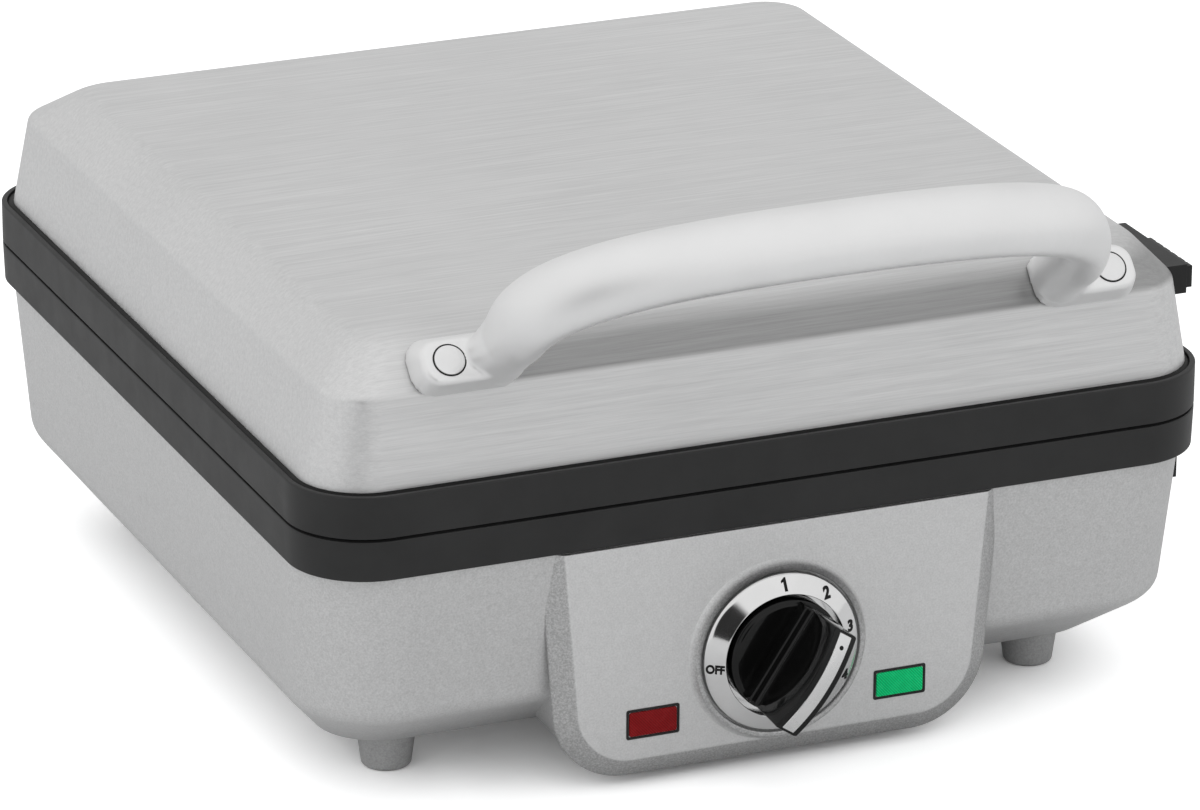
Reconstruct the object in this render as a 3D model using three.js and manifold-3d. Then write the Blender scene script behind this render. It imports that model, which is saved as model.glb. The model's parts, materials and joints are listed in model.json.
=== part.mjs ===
// Countertop waffle and pancake maker with a hinged lid, removable waffle plates,
// an arched handle, a browning dial and plate release buttons.
// Millimetres, Z up, the front with the control panel faces -Y, the feet stand on Z = 0.
import * as THREE from 'three';
import * as BufferGeometryUtils from 'three/addons/utils/BufferGeometryUtils.js';
import Module from 'manifold-3d';

const wasm = await Module();
wasm.setup();

// General sizes
const seamZ = 103.6; // height of the split between base and lid
const seamGap = 0.6; // gap between the two rings at the split
const fitGap = 0.3; // gap between pieces that touch
const overCut = 6; // how far a cutting body runs past the face it opens

// Steps used for curved outlines
const cornerSteps = 5;
const blendSteps = 3;
const dialSegments = 36;
const smallSegments = 20;
const screwSegments = 12;
const rodSegments = 6;

// Rings around the split
const ringHalfWidth = 165;
const ringHalfDepth = 173.35;
const ringCorner = 27.6;
const upperRingHeight = 15.2;
const lowerRingHeight = 14.5;
const ringWall = 2;
const ringEdge = 0.4; // small chamfer on the ring edges
const ringFloor = 3.9; // thickness of the inward floor that carries the tray
const ringFootInset = 0.5; // how far the lower ring draws in at its bottom
const ringFootThickness = 2;
const ringFootWidth = 9;

// Lid cover
const lidWall = 1.5;
const lidLowInset = 3.5;
const lidLowHalf = ringHalfWidth - lidLowInset;
const lidLowFrontInset = 4.05;
const lidLowFront = ringHalfDepth - lidLowFrontInset;
const lidLowBackInset = 6.35;
const lidLowBack = ringHalfDepth - lidLowBackInset;
const lidLowCorner = 23;
const lidLowTop = 14; // height where the side walls begin to lean in
const lidFoldInset = 6.7;
const lidFoldHalf = lidLowHalf - lidFoldInset;
const lidFoldFrontInset = 2.9;
const lidFoldFront = lidLowFront - lidFoldFrontInset;
const lidFoldBackInset = 4;
const lidFoldBack = lidLowBack - lidFoldBackInset;
const lidFoldCorner = 18;
const lidFoldHeight = 46.7;
const lidFoldBlend = 2.6;
const lidTopInset = 13.6;
const lidTopHalf = lidFoldHalf - lidTopInset;
const lidTopFrontInset = 14;
const lidTopFront = lidFoldFront - lidTopFrontInset;
const lidTopBackInset = 25;
const lidTopBack = lidFoldBack - lidTopBackInset;
const lidTopCorner = 14;
const lidTopHeight = 61.6;
const lidTopBlend = 5.4;
const lidCrown = 0.8; // rise of the middle of the top
const crownShare = 0.55; // where the crown levels off, as a share of the top outline
const crownRiseShare = 0.7;

// Base housing
const baseWall = 2.5;
const baseTopInset = 1.8;
const baseTopHalf = ringHalfWidth - baseTopInset;
const baseTopDepthInset = 1.95;
const baseTopDepth = ringHalfDepth - baseTopDepthInset;
const baseTopCorner = 34;
const shoulderInset = 3.6;
const shoulderHalf = baseTopHalf - shoulderInset;
const shoulderDepthInset = 7.8;
const shoulderDepth = baseTopDepth - shoulderDepthInset;
const shoulderCorner = 31;
const shoulderDrop = 69.3;
const shoulderBlend = 3.5;
const baseLowInset = 16.8;
const baseLowHalf = shoulderHalf - baseLowInset;
const baseLowDepthInset = 28.6;
const baseLowDepth = shoulderDepth - baseLowDepthInset;
const baseLowCorner = 22;
const baseLowDrop = 89;
const floorOpeningInset = 49.8;
const floorOpeningHalf = baseLowHalf - floorOpeningInset;
const floorOpeningFrontInset = 51;
const floorOpeningFront = baseLowDepth - floorOpeningFrontInset;
const floorOpeningBackInset = 33;
const floorOpeningBack = baseLowDepth - floorOpeningBackInset;
const floorOpeningCorner = 8;

// Control box of the housing, behind the panel
const boxInset = 2; // how far the box walls stand inside the panel edge
const boxDepth = 68.35;
const boxBackY = ringHalfDepth - boxDepth;
const boxBackRise = 7;
const boxBackRun = 20;
const jambDrop = 44;
const jambDepth = 3;

// Control panel
const panelTopDrop = 15;
const panelFaceTopHalf = 77.1;
const panelFaceLowHalf = 72.1;
const panelFaceLowDrop = 74;
const panelFaceBottomDrop = 92.2;
const panelFaceCorner = 20;
const panelEdgeTopHalf = 84.2;
const jambInset = 5.2; // jambs reach this far in behind the panel edge
const jambInner = panelEdgeTopHalf - jambInset;
const jambWidth = 9;
const jambOuter = jambInner + jambWidth;
const panelEdgeLowHalf = 79.7;
const panelEdgeLowDrop = 72;
const panelEdgeBottomDrop = 99.8;
const panelEdgeCorner = 27;
const panelChamferDepth = 5;
const panelRim = 1; // straight edge behind the chamfer
const panelWall = 2.5;

// Dial and its raised surround
const dialDrop = 60.05;
const bossRadius = 32.7;
const bossTopRadius = 30.6;
const bossHeight = 3;
const bossEdge = 0.5;
const dialRecessRadius = 29.1;
const dialFloor = 1.7;
const dialRadius = 28.4;
const dialRise = 3.4; // outer edge of the scale ring in front of the panel face
const dialEdge = 0.6;
const dialInnerRadius = 21.9;
const dialInnerRise = 7.2; // the scale ring stands out towards the knob
const dialPlate = 0.8;
const shaftRadius = 3;
const shaftHoleRadius = 3.4;
const panelShaftHoleRadius = 7;

// Knob
const knobAngle = 33.8; // degrees clockwise from straight up
const skirtRadius = 20.1;
const skirtTopRadius = 19.2;
const skirtBackRise = 1.6;
const skirtEdgeRise = 7.2;
const skirtFrontRise = 8.1;
const gripLength = 19.45; // half length of the front edge of the grip
const gripBaseLength = 18.9;
const gripHalfWidth = 4.6;
const gripFrontRise = 35.8; // middle of the front edge
const gripCrown = 4.5; // how much lower the two ends of the front edge are
const gripSteps = 8;
const gripEdge = 0.4;
const gripRootHalf = 7; // the grip stands on a wider root
const gripRootLength = 18.6;
const gripRootSideRise = 12.4;
const gripRootMidHalf = 6.2;
const gripRootMidRise = 13.5;
const gripRootRise = 14.6;
const inlayHalfWidth = 2.4;
const inlayEndGap = 0.9;
const inlayDepth = 1;
const inlayProud = 0.25;
const knobBoreDepth = 14;

// Indicator lights
const lensX = 45.4;
const lensDrop = 79.4;
const lensWidth = 18.5;
const lensHeight = 9.5;
const lensCorner = 0.8;
const lensDepth = 3;
const lensProud = 0.45;
const bezelRim = 0.9;
const bezelDepth = 4.2;
const bezelProud = 0.35;
const lampRadius = 2.8;
const lampLength = 9;

// Thermostat behind the dial
const thermostatHalf = 18;
const thermostatDepth = 16;
const thermostatNeckRadius = 5.4;
const thermostatNeckLength = 12;
const shaftTail = 20;

// Feet
const footInsetX = 22.4;
const footX = baseLowHalf - footInsetX;
const footInsetY = 15.2;
const footY = baseLowDepth - footInsetY;
const footTopRadius = 10.4;
const footLowRadius = 8.7;
const footRound = 1.6;

// Service cover underneath
const coverMargin = 7; // how far the cover laps over the floor
const coverHalf = floorOpeningHalf + coverMargin;
const coverFront = floorOpeningFront + coverMargin;
const coverBack = floorOpeningBack + coverMargin;
const coverCorner = 12;
const coverThickness = 1.5;
const coverScrewX = floorOpeningHalf + coverMargin / 2;
const coverScrewInset = 24;
const coverScrewFront = floorOpeningFront - coverScrewInset;
const coverScrewBack = floorOpeningBack - coverScrewInset;
const ventCount = 7;
const ventPitch = 16;
const ventHalfWidth = 2.5;
const ventHalfLength = 34;
const ventBackShift = 9;
const screwHeadRadius = 3.4;
const screwHeadHeight = 1.8;
const screwShankRadius = 1.6;
const screwHoleRadius = 2;
const screwLength = 8;
const driveHalfLength = 2.4;
const driveHalfWidth = 0.5;
const driveDepth = 0.8;

// Opening of the rings around a plate
const openingInset = 20.5;
const openingHalf = ringHalfWidth - openingInset;
const openingDepthInset = 23.85;
const openingDepth = ringHalfDepth - openingDepthInset;
const openingCorner = 11.5;

// Heat trays
const trayRim = 7.5; // how far the tray rim lies under the ring
const traySheet = 1.2;
const trayWallOverlap = 2.2;
const trayWallHalf = openingHalf + trayWallOverlap;
const trayWallDepth = openingDepth + trayWallOverlap;
const trayCorner = 13.5;
const trayBend = 18; // drop at which the tray walls begin to draw in
const trayFloorInset = 7.7;
const trayFloorHalf = trayWallHalf - trayFloorInset;
const trayFloorDepth = trayWallDepth - trayFloorInset;
const trayFloorDrop = 31.2;
const postHalf = 5;
const trayRoomGap = 2; // room left around the tray inside the base

// Waffle plates
const plateGap = 1.5;
const plateHalf = openingHalf - plateGap;
const plateDepth = openingDepth - plateGap;
const plateCorner = 10;
const plateTopDrop = 0.4;
const plateBottomDrop = 16.5;
const plateEdge = 0.8;
const plateFootInset = 1.5;
const fieldRim = 9; // rim around the sunk baking field
const fieldHalf = plateHalf - fieldRim;
const fieldDepth = plateDepth - fieldRim;
const fieldDrop = 2.6; // drop of the dividers between the waffles
const fieldCorner = 6;
const fieldLedge = 1.4; // step left between the field edge and the pockets
const pocketOver = 1;
const dividerHalf = 5;
const pocketDraft = 3;
const pocketCorner = 5;
const pocketDrop = 13.5;
const pocketSteps = 3;
const studCount = 4;
const studBaseHalf = 10.4;
const studTopHalf = 7.3;
const studTopDrop = 3.2;
const studRoot = 1; // how deep a stud is rooted in the pocket floor

// Heating elements
const heaterRadius = 3.75;
const heaterGap = 0.35;
const heaterInset = 43;
const heaterHalf = plateHalf - heaterInset;
const heaterDepthInset = 42;
const heaterDepth = plateDepth - heaterDepthInset;
const heaterBend = 28;
const heaterTailX = 16;
const heaterTailBend = 10;
const heaterTailReach = 8.3; // how far the tails stand out behind the tray
const heaterTailEnd = trayWallDepth + heaterTailReach;
const heaterHoleRadius = 4.4;
const bendSteps = 5;

// Plate catch: a lug on the plate, a hook on the release button
const catchInset = 15.5;
const catchY = openingDepth - catchInset;
const catchHalf = 4;
const lugInset = 2.4;
const lugPostOuter = plateHalf - lugInset;
const lugPostThickness = 2.6;
const lugPostInner = lugPostOuter - lugPostThickness;
const lugDrop = 23.5;
const lugLip = 3.5;
const lugLipThickness = 2.2;
const armTopDrop = 25;
const armThickness = 3;
const hookReach = 9.5;
const hookInner = lugPostInner - hookReach;
const hookThickness = 3;
const hookLipThickness = 2.5;
const hookLipGap = 0.6;
const hookSlotGap = 1;
const lipOverlap = 2.5;

// Fixed plate clip on the other side
const clipHalfLength = 58;
const clipTongue = 3;
const clipDrop = 8;
const clipThickness = 3;
const clipGap = 0.5;
const clipFootHeight = 9;
const clipFootThickness = 1.6;

// Release buttons
const buttonHalfLength = 16;
const buttonFrontY = catchY + buttonHalfLength;
const buttonBackY = catchY - buttonHalfLength;
const upperButtonLow = 38.2;
const upperButtonHigh = 46.8;
const upperButtonProud = 2.7; // in front of the foot of the lid side
const upperButtonOuter = lidLowHalf + upperButtonProud;
const upperBezelRim = 1.2;
const upperBezelFrontY = buttonFrontY + upperBezelRim;
const upperBezelTail = 13.5;
const upperBezelBackY = buttonBackY - upperBezelTail;
const upperBezelEdge = 0.9; // bezel rim below and above the button
const upperBezelLow = upperButtonLow - upperBezelEdge;
const upperBezelHigh = upperButtonHigh + upperBezelEdge;
const upperBezelDepth = 8.4;
const upperBezelStep = 2.9; // bezel face behind the button face
const upperBezelOuter = upperButtonOuter - upperBezelStep;
const upperBezelInner = upperBezelOuter - upperBezelDepth;
const buttonDepth = 4;
const lowerButtonHalfLength = 10.5;
const lowerButtonFrontY = catchY + lowerButtonHalfLength;
const lowerButtonBackY = catchY - lowerButtonHalfLength;
const lowerButtonHigh = 21.4;
const lowerButtonLow = 31;
const lowerButtonInset = 0.3; // button face inside the top edge of the base side
const lowerButtonOuter = baseTopHalf - lowerButtonInset;
const lowerBezelOuter = lowerButtonOuter;
const lowerBezelDepth = 4.6;
const lowerBezelInner = lowerBezelOuter - lowerBezelDepth;
const lowerBezelRim = 1.3;
const buttonGap = 0.4;
const stemThickness = 6;
const legGap = 1.2; // between the tray wall and the leg of a release
const legInner = trayWallHalf + legGap;
const legThickness = 2.6;
const gripGrooves = 5;
const gripGrooveWidth = 1.5;
const gripGrooveDepth = 0.9;
const catchTravel = 4;

// Handle
const handleShift = 3; // the handle stands a little to the right of the middle
const flangeInnerX = 93.5;
const flangeOuterX = 131;
const flangeLow = -2.2; // lower edge, measured up the front slope from the fold
const flangeHigh = 18.6;
const flangeCorner = 7;
const flangeHeight = 10;
const flangeFaceInnerX = 95.5;
const flangeFaceOuterX = 128.6;
const flangeFaceLow = -1.8;
const flangeFaceHigh = 14.2;
const flangeFaceCorner = 6;
const flangeEdge = 0.9;
const archLean = 43.5; // degrees above level
const archFootRise = 7; // middle of the arch foot, measured up the slope
const archRootX = 100.8;
const archRise = 48.6;
const archBow = 7.9;
const archPower = 4.2;
const archSteps = 24;
const archSink = 5; // how far the arch runs down into its flanges
const gripInPlane = 9.2;
const gripAcross = 12.6;
const rootAcross = 9.6;
const rootLength = 20;
const archSegments = 14;
const rootSwell = 3;
const rootSwellLength = 7;
const capX = 119.5;
const capRise = 6.2; // middle of the cap, measured up the slope
const capRadius = 5.3;
const capDepth = 3.2;
const capProud = 0.3;
const capEdge = 0.5;
const capBoreGap = 0.3;
const capBoreDepth = 3.8;
const handleScrewHead = 3.6;
const handleScrewHeadHeight = 2.4;
const handleScrewShank = 2;
const handleScrewHole = 2.5;
const handleScrewReach = 12;

// Hinges
const hingeReach = 10.15; // hinge axis behind the rings
const hingeY = ringHalfDepth + hingeReach;
const hingeX = 93;
const knuckleRadius = 6.5;
const pinRadius = 2.5;
const pinHoleRadius = 2.8;
const bracketHalf = 13;
const lidKnuckleHalf = 6.6;
const knuckleGap = 0.4;
const pinOverhang = 1;
const bracketPlate = 2.8;
const bracketTopDrop = 1.2;
const bracketStep = 0.7;
const bracketBottomDrop = 40;
const bracketBellyDrop = 24;
const bracketBelly = 5;
const armBottomRise = 1.2;
const armTopRise = 14;
const armShoulder = 4.5;

// Small inner pieces
const blockX = 62;
const blockInset = 17;
const blockY = baseLowDepth - blockInset;
const blockHalfLength = 20;
const blockHalfWidth = 8;
const blockHeight = 13;
const blockNotchHalf = 3;
const blockNotchDepth = 5;
const blockPitch = 12;
const fuseX = 40;
const fuseY = 20;
const fuseRadius = 4;
const fuseHalfLength = 12;
const fuseNeckRadius = 2.4;
const fuseNeckLength = 4;
const glandX = 112;
const glandDrop = 50;
const glandRadius = 6;
const glandFlangeRadius = 8.6;
const glandFlange = 2.4;
const glandBore = 3.6;
const glandInside = 7;

const axisX = new THREE.Vector3(1, 0, 0);
const axisY = new THREE.Vector3(0, 1, 0);
const axisZ = new THREE.Vector3(0, 0, 1);

// Frames: two directions in a plane and the direction out of it
function makeFrame(origin, across, along) {
  return { origin, across, along, out: across.clone().cross(along) };
}

function at(frame, u, v, w) {
  return frame.origin.clone()
    .addScaledVector(frame.across, u)
    .addScaledVector(frame.along, v)
    .addScaledVector(frame.out, w);
}

const seamPoint = new THREE.Vector3(0, 0, seamZ);
const planFrame = makeFrame(seamPoint, axisX, axisY); // out is up
const frontFrame = makeFrame(seamPoint, axisX, axisZ); // out is towards the front
const sideFrame = makeFrame(seamPoint, axisY, axisZ); // out is to the right

// Outlines, as lists of [u, v] points that run against the clock
function roundedRect(half, front, back, corner) {
  const points = [];
  const centres = [
    [half - corner, -front + corner, -0.25],
    [half - corner, back - corner, 0],
    [-half + corner, back - corner, 0.25],
    [-half + corner, -front + corner, 0.5],
  ];
  for (const [cu, cv, turn] of centres) {
    for (let i = 0; i <= cornerSteps; i += 1) {
      const angle = (turn + (0.25 * i) / cornerSteps) * 2 * Math.PI;
      points.push([cu + corner * Math.cos(angle), cv + corner * Math.sin(angle)]);
    }
  }
  return points;
}

function rectangle(u0, u1, v0, v1) {
  return [[u0, v0], [u1, v0], [u1, v1], [u0, v1]];
}

function circle(cu, cv, radius, segments) {
  const points = [];
  for (let i = 0; i < segments; i += 1) {
    const angle = (2 * Math.PI * i) / segments;
    points.push([cu + radius * Math.cos(angle), cv + radius * Math.sin(angle)]);
  }
  return points;
}

// Panel outline: leaning sides and two large lower corners
function panelOutline(topHalf, lowHalf, lowDrop, bottomDrop, corner, topDrop) {
  const lean = Math.atan2(topHalf - lowHalf, lowDrop - panelTopDrop);
  const centreV = -bottomDrop + corner;
  const sideV = centreV - corner * Math.sin(lean);
  const centreU = lowHalf + (sideV + lowDrop) * Math.tan(lean) - corner * Math.cos(lean);
  const topU = lowHalf + (lowDrop - topDrop) * Math.tan(lean);
  const right = [];
  for (let i = 0; i <= cornerSteps; i += 1) {
    const angle = -Math.PI / 2 + ((Math.PI / 2 - lean) * i) / cornerSteps;
    right.push([centreU + corner * Math.cos(angle), centreV + corner * Math.sin(angle)]);
  }
  right.push([topU, -topDrop]);
  const left = right.map(([u, v]) => [-u, v]).reverse();
  return [...right, ...left];
}

// Lofts: rings with equal point counts, stacked outwards
function ring(frame, outline, w) {
  return outline.map(([u, v]) => at(frame, u, v, w));
}

function middle(points) {
  const sum = new THREE.Vector3();
  for (const point of points) {
    sum.add(point);
  }
  return sum.divideScalar(points.length);
}

function loft(rings, closed = false, endRise = null) {
  const count = rings[0].length;
  const positions = [];
  const index = [];
  for (const points of rings) {
    for (const point of points) {
      positions.push(point.x, point.y, point.z);
    }
  }
  const last = closed ? rings.length : rings.length - 1;
  for (let i = 0; i < last; i += 1) {
    const a = i * count;
    const b = ((i + 1) % rings.length) * count;
    for (let j = 0; j < count; j += 1) {
      const k = (j + 1) % count;
      index.push(a + j, a + k, b + k, a + j, b + k, b + j);
    }
  }
  if (!closed) {
    const first = middle(rings[0]);
    const end = middle(rings[rings.length - 1]);
    if (endRise) {
      end.add(endRise);
    }
    const base = rings.length * count;
    const top = (rings.length - 1) * count;
    positions.push(first.x, first.y, first.z, end.x, end.y, end.z);
    for (let j = 0; j < count; j += 1) {
      const k = (j + 1) % count;
      index.push(base, k, j, base + 1, top + j, top + k);
    }
  }
  const geometry = new THREE.BufferGeometry();
  geometry.setAttribute('position', new THREE.Float32BufferAttribute(positions, 3));
  geometry.setIndex(index);
  return geometry;
}

function solid(frame, layers) {
  return loft(layers.map(([outline, w]) => ring(frame, outline, w)));
}

function block(frame, u0, u1, v0, v1, w0, w1) {
  const outline = rectangle(u0, u1, v0, v1);
  return solid(frame, [[outline, w0], [outline, w1]]);
}

function rod(frame, cu, cv, profile, segments) {
  return solid(frame, profile.map(([radius, w]) => [circle(cu, cv, radius, segments), w]));
}

function turnedRing(frame, cu, cv, profile, segments) {
  const rings = profile.map(([radius, w]) => ring(frame, circle(cu, cv, radius, segments), w));
  return loft(rings, true);
}

// Straight body with any outline
function prism(frame, outline, w0, w1) {
  const shape = new THREE.Shape(outline.map(([u, v]) => new THREE.Vector2(u, v)));
  const geometry = new THREE.ExtrudeGeometry(shape, { depth: w1 - w0, bevelEnabled: false });
  const matrix = new THREE.Matrix4().makeBasis(frame.across, frame.along, frame.out);
  matrix.setPosition(at(frame, 0, 0, w0));
  geometry.applyMatrix4(matrix);
  return geometry;
}

// Joining and cutting
function toManifold(geometry) {
  const bare = new THREE.BufferGeometry();
  bare.setAttribute('position', geometry.getAttribute('position').clone());
  if (geometry.index) {
    bare.setIndex(geometry.index.clone());
  }
  const merged = BufferGeometryUtils.mergeVertices(bare);
  const mesh = new wasm.Mesh({
    numProp: 3,
    vertProperties: new Float32Array(merged.getAttribute('position').array),
    triVerts: new Uint32Array(merged.index.array),
  });
  return new wasm.Manifold(mesh);
}

function fromManifold(body) {
  const mesh = body.getMesh();
  const geometry = new THREE.BufferGeometry();
  const positions = new Float32Array(mesh.vertProperties);
  geometry.setAttribute('position', new THREE.BufferAttribute(positions, 3));
  geometry.setIndex([...mesh.triVerts]);
  return geometry;
}

function join(first, ...others) {
  let body = toManifold(first);
  for (const other of others) {
    body = body.add(toManifold(other));
  }
  return fromManifold(body);
}

function cut(first, ...tools) {
  let body = toManifold(first);
  for (const tool of tools) {
    body = body.subtract(toManifold(tool));
  }
  return fromManifold(body);
}

// Copies across the middle plane and across the split
function reversed(geometry) {
  const copy = geometry.index ? geometry : BufferGeometryUtils.mergeVertices(geometry);
  const index = copy.index.array;
  for (let i = 0; i < index.length; i += 3) {
    [index[i + 1], index[i + 2]] = [index[i + 2], index[i + 1]];
  }
  return copy;
}

function toLeft(geometry) {
  return reversed(geometry.clone().scale(-1, 1, 1));
}

function aboveSplit(geometry) {
  return reversed(geometry.clone().scale(1, 1, -1).translate(0, 0, 2 * seamZ));
}

// Stacked plan outlines: { half, front, back, corner, w, blend }
const outlineKeys = ['half', 'front', 'back', 'corner', 'w'];

function between(a, b, share) {
  const mixed = {};
  for (const key of outlineKeys) {
    mixed[key] = a[key] + (b[key] - a[key]) * share;
  }
  return mixed;
}

function span(a, b) {
  return Math.hypot(b.half - a.half, b.w - a.w);
}

// Every level that has a blend length is replaced by a short curve
function blended(levels) {
  const result = [];
  levels.forEach((level, i) => {
    if (!level.blend) {
      result.push(level);
      return;
    }
    const before = between(level, levels[i - 1], level.blend / span(level, levels[i - 1]));
    const after = between(level, levels[i + 1], level.blend / span(level, levels[i + 1]));
    for (let step = 0; step <= blendSteps; step += 1) {
      const share = step / blendSteps;
      const one = between(before, level, share);
      const two = between(level, after, share);
      result.push(between(one, two, share));
    }
  });
  return result;
}

function planRing(level) {
  const outline = roundedRect(level.half, level.front, level.back, level.corner);
  return ring(planFrame, outline, level.w);
}

function level(half, front, back, corner, w, blend = 0) {
  return { half, front, back, corner, w, blend };
}

// The same levels moved in by a wall thickness, walls and slopes alike
function insideOf(levels, wall) {
  return levels.map((item, i) => {
    const before = levels[Math.max(i - 1, 0)];
    const after = levels[Math.min(i + 1, levels.length - 1)];
    const normals = [];
    if (before !== item) {
      normals.push([item.w - before.w, before.half - item.half]);
    }
    if (after !== item) {
      normals.push([after.w - item.w, item.half - after.half]);
    }
    const units = normals.map(([a, b]) => [a / Math.hypot(a, b), b / Math.hypot(a, b)]);
    const sum = units.reduce(([a, b], [c, d]) => [a + c, b + d], [0, 0]);
    const size = Math.hypot(sum[0], sum[1]);
    const unit = [sum[0] / size, sum[1] / size];
    const stretch = wall / (unit[0] * units[0][0] + unit[1] * units[0][1]);
    const inset = unit[0] * stretch;
    return level(
      item.half - inset,
      item.front - inset,
      item.back - inset,
      item.corner - inset,
      item.w - unit[1] * stretch,
      item.blend,
    );
  });
}

// Materials as the photo shows them
function material(color, roughness, metalness, extra = {}) {
  return new THREE.MeshStandardMaterial({ color, roughness, metalness, ...extra });
}

const group = new THREE.Group();
group.name = 'waffle_maker';
const creaseAngle = 0.6; // radians; flatter edges than this are shaded smooth

function addPart(name, geometry, look) {
  const bare = new THREE.BufferGeometry();
  bare.setAttribute('position', geometry.getAttribute('position').clone());
  if (geometry.index) {
    bare.setIndex(geometry.index.clone());
  }
  const shaded = BufferGeometryUtils.toCreasedNormals(bare, creaseAngle);
  const mesh = new THREE.Mesh(shaded, look);
  mesh.name = name;
  group.add(mesh);
}

// Lid cover
const lidLevels = [
  level(lidLowHalf, lidLowFront, lidLowBack, lidLowCorner, ringFloor + seamGap / 2 + fitGap),
  level(lidLowHalf, lidLowFront, lidLowBack, lidLowCorner, lidLowTop),
  level(lidFoldHalf, lidFoldFront, lidFoldBack, lidFoldCorner, lidFoldHeight, lidFoldBlend),
  level(lidTopHalf, lidTopFront, lidTopBack, lidTopCorner, lidTopHeight, lidTopBlend),
];
const lidTopInner = level(
  lidTopHalf * crownShare,
  lidTopFront * crownShare,
  lidTopBack * crownShare,
  lidTopCorner * crownShare,
  lidTopHeight + lidCrown * crownRiseShare,
);
const lidOuter = blended([...lidLevels, lidTopInner]);
const lidInnerTop = level(
  lidTopHalf * crownShare,
  lidTopFront * crownShare,
  lidTopBack * crownShare,
  lidTopCorner * crownShare,
  lidTopHeight + lidCrown * crownRiseShare - lidWall,
);
const lidInnerSource = insideOf([...lidLevels, lidTopInner], lidWall);
lidInnerSource[0].w = lidLevels[0].w;
lidInnerSource[lidInnerSource.length - 1] = lidInnerTop;
const lidInner = blended(lidInnerSource);
const lidShell = loft(
  [...lidInner.reverse().map(planRing), ...lidOuter.map(planRing)],
  false,
  new THREE.Vector3(0, 0, lidCrown * (1 - crownRiseShare)),
);

// Front slope of the lid, which carries the handle
const slopeRun = lidFoldFront - lidTopFront;
const slopeRise = lidTopHeight - lidFoldHeight;
const slopeUp = new THREE.Vector3(0, slopeRun, slopeRise).normalize();
const slopeFoot = new THREE.Vector3(handleShift, -lidFoldFront, seamZ + lidFoldHeight);
const slopeFrame = makeFrame(slopeFoot, axisX, slopeUp);

const upperBezelHole = block(
  sideFrame,
  -upperBezelFrontY - fitGap,
  -upperBezelBackY + fitGap,
  upperBezelLow - fitGap,
  upperBezelHigh + fitGap,
  upperBezelInner - overCut,
  upperBezelOuter + overCut,
);
const handleScrewBores = [-capX, capX].map((x) => rod(
  slopeFrame,
  x,
  capRise,
  [[handleScrewHole, -handleScrewReach], [handleScrewHole, flangeHeight + overCut]],
  smallSegments,
));
const brushedSteel = material(0xcfcfcd, 0.34, 0.9);
addPart('lid_cover', cut(lidShell, upperBezelHole, ...handleScrewBores), brushedSteel);

// Rings
const ringLook = material(0x39393a, 0.5, 0.1);
function ringLevel(inset, w) {
  return level(
    ringHalfWidth - inset,
    ringHalfDepth - inset,
    ringHalfDepth - inset,
    ringCorner - inset,
    w,
  );
}
const seamHalf = seamGap / 2;
const floorTop = seamHalf + ringFloor;
const openingLow = level(openingHalf, openingDepth, openingDepth, openingCorner, seamHalf);
const openingHigh = { ...openingLow, w: floorTop };
const upperRing = loft([
  ringLevel(ringEdge, seamHalf),
  ringLevel(0, seamHalf + ringEdge),
  ringLevel(0, upperRingHeight - ringEdge),
  ringLevel(ringEdge, upperRingHeight),
  ringLevel(ringWall - ringEdge, upperRingHeight),
  ringLevel(ringWall, upperRingHeight - ringEdge),
  ringLevel(ringWall, floorTop),
  openingHigh,
  openingLow,
].map(planRing), true);
addPart('upper_ring', upperRing, ringLook);

const lowerRing = loft([
  ringLevel(ringFootInset, -lowerRingHeight),
  ringLevel(0, -seamHalf - ringEdge),
  ringLevel(ringEdge, -seamHalf),
  { ...openingLow, w: -seamHalf },
  { ...openingLow, w: -floorTop },
  ringLevel(ringWall, -floorTop),
  ringLevel(ringWall + ringFootInset, -lowerRingHeight + ringFootThickness),
  ringLevel(ringFootWidth, -lowerRingHeight + ringFootThickness),
  ringLevel(ringFootWidth, -lowerRingHeight),
].map(planRing), true);
addPart('lower_ring', lowerRing, ringLook);

// Base housing with its control box
const panelFaceY = ringHalfDepth;
const panelEdgeW = panelFaceY - panelChamferDepth;
const panelBackW = panelEdgeW - panelRim;
const baseTopW = -lowerRingHeight - fitGap;
const baseLevels = [
  level(baseLowHalf, baseLowDepth, baseLowDepth, baseLowCorner, -baseLowDrop),
  level(
    shoulderHalf, shoulderDepth, shoulderDepth, shoulderCorner, -shoulderDrop, shoulderBlend,
  ),
  level(baseTopHalf, baseTopDepth, baseTopDepth, baseTopCorner, baseTopW),
];
const baseOuter = blended(baseLevels);
const baseInnerSource = insideOf(baseLevels, baseWall);
baseInnerSource[0].w = -baseLowDrop + baseWall;
baseInnerSource[baseInnerSource.length - 1].w = baseTopW;
const baseInner = blended(baseInnerSource).reverse();
const baseShell = loft([...baseOuter, ...baseInner].map(planRing));

function edgeOutline(inset, topDrop, rise = 0) {
  return panelOutline(
    panelEdgeTopHalf - inset,
    panelEdgeLowHalf - inset,
    panelEdgeLowDrop,
    panelEdgeBottomDrop - inset - rise,
    panelEdgeCorner - inset,
    topDrop,
  );
}
const boxFrontW = panelBackW - fitGap;
const boxOuter = solid(frontFrame, [
  [edgeOutline(boxInset, -baseTopW, boxBackRise), boxBackY],
  [edgeOutline(boxInset, -baseTopW), boxBackY + boxBackRun],
  [edgeOutline(boxInset, -baseTopW), boxFrontW],
]);
const boxInnerInset = boxInset + baseWall;
const boxInner = solid(frontFrame, [
  [edgeOutline(boxInnerInset, panelTopDrop - overCut, boxBackRise), boxBackY - overCut],
  [edgeOutline(boxInnerInset, panelTopDrop - overCut, boxBackRise), boxBackY + baseWall],
  [edgeOutline(boxInnerInset, panelTopDrop - overCut), boxBackY + boxBackRun + baseWall],
  [edgeOutline(boxInnerInset, panelTopDrop - overCut), panelFaceY + overCut],
]);
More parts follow.
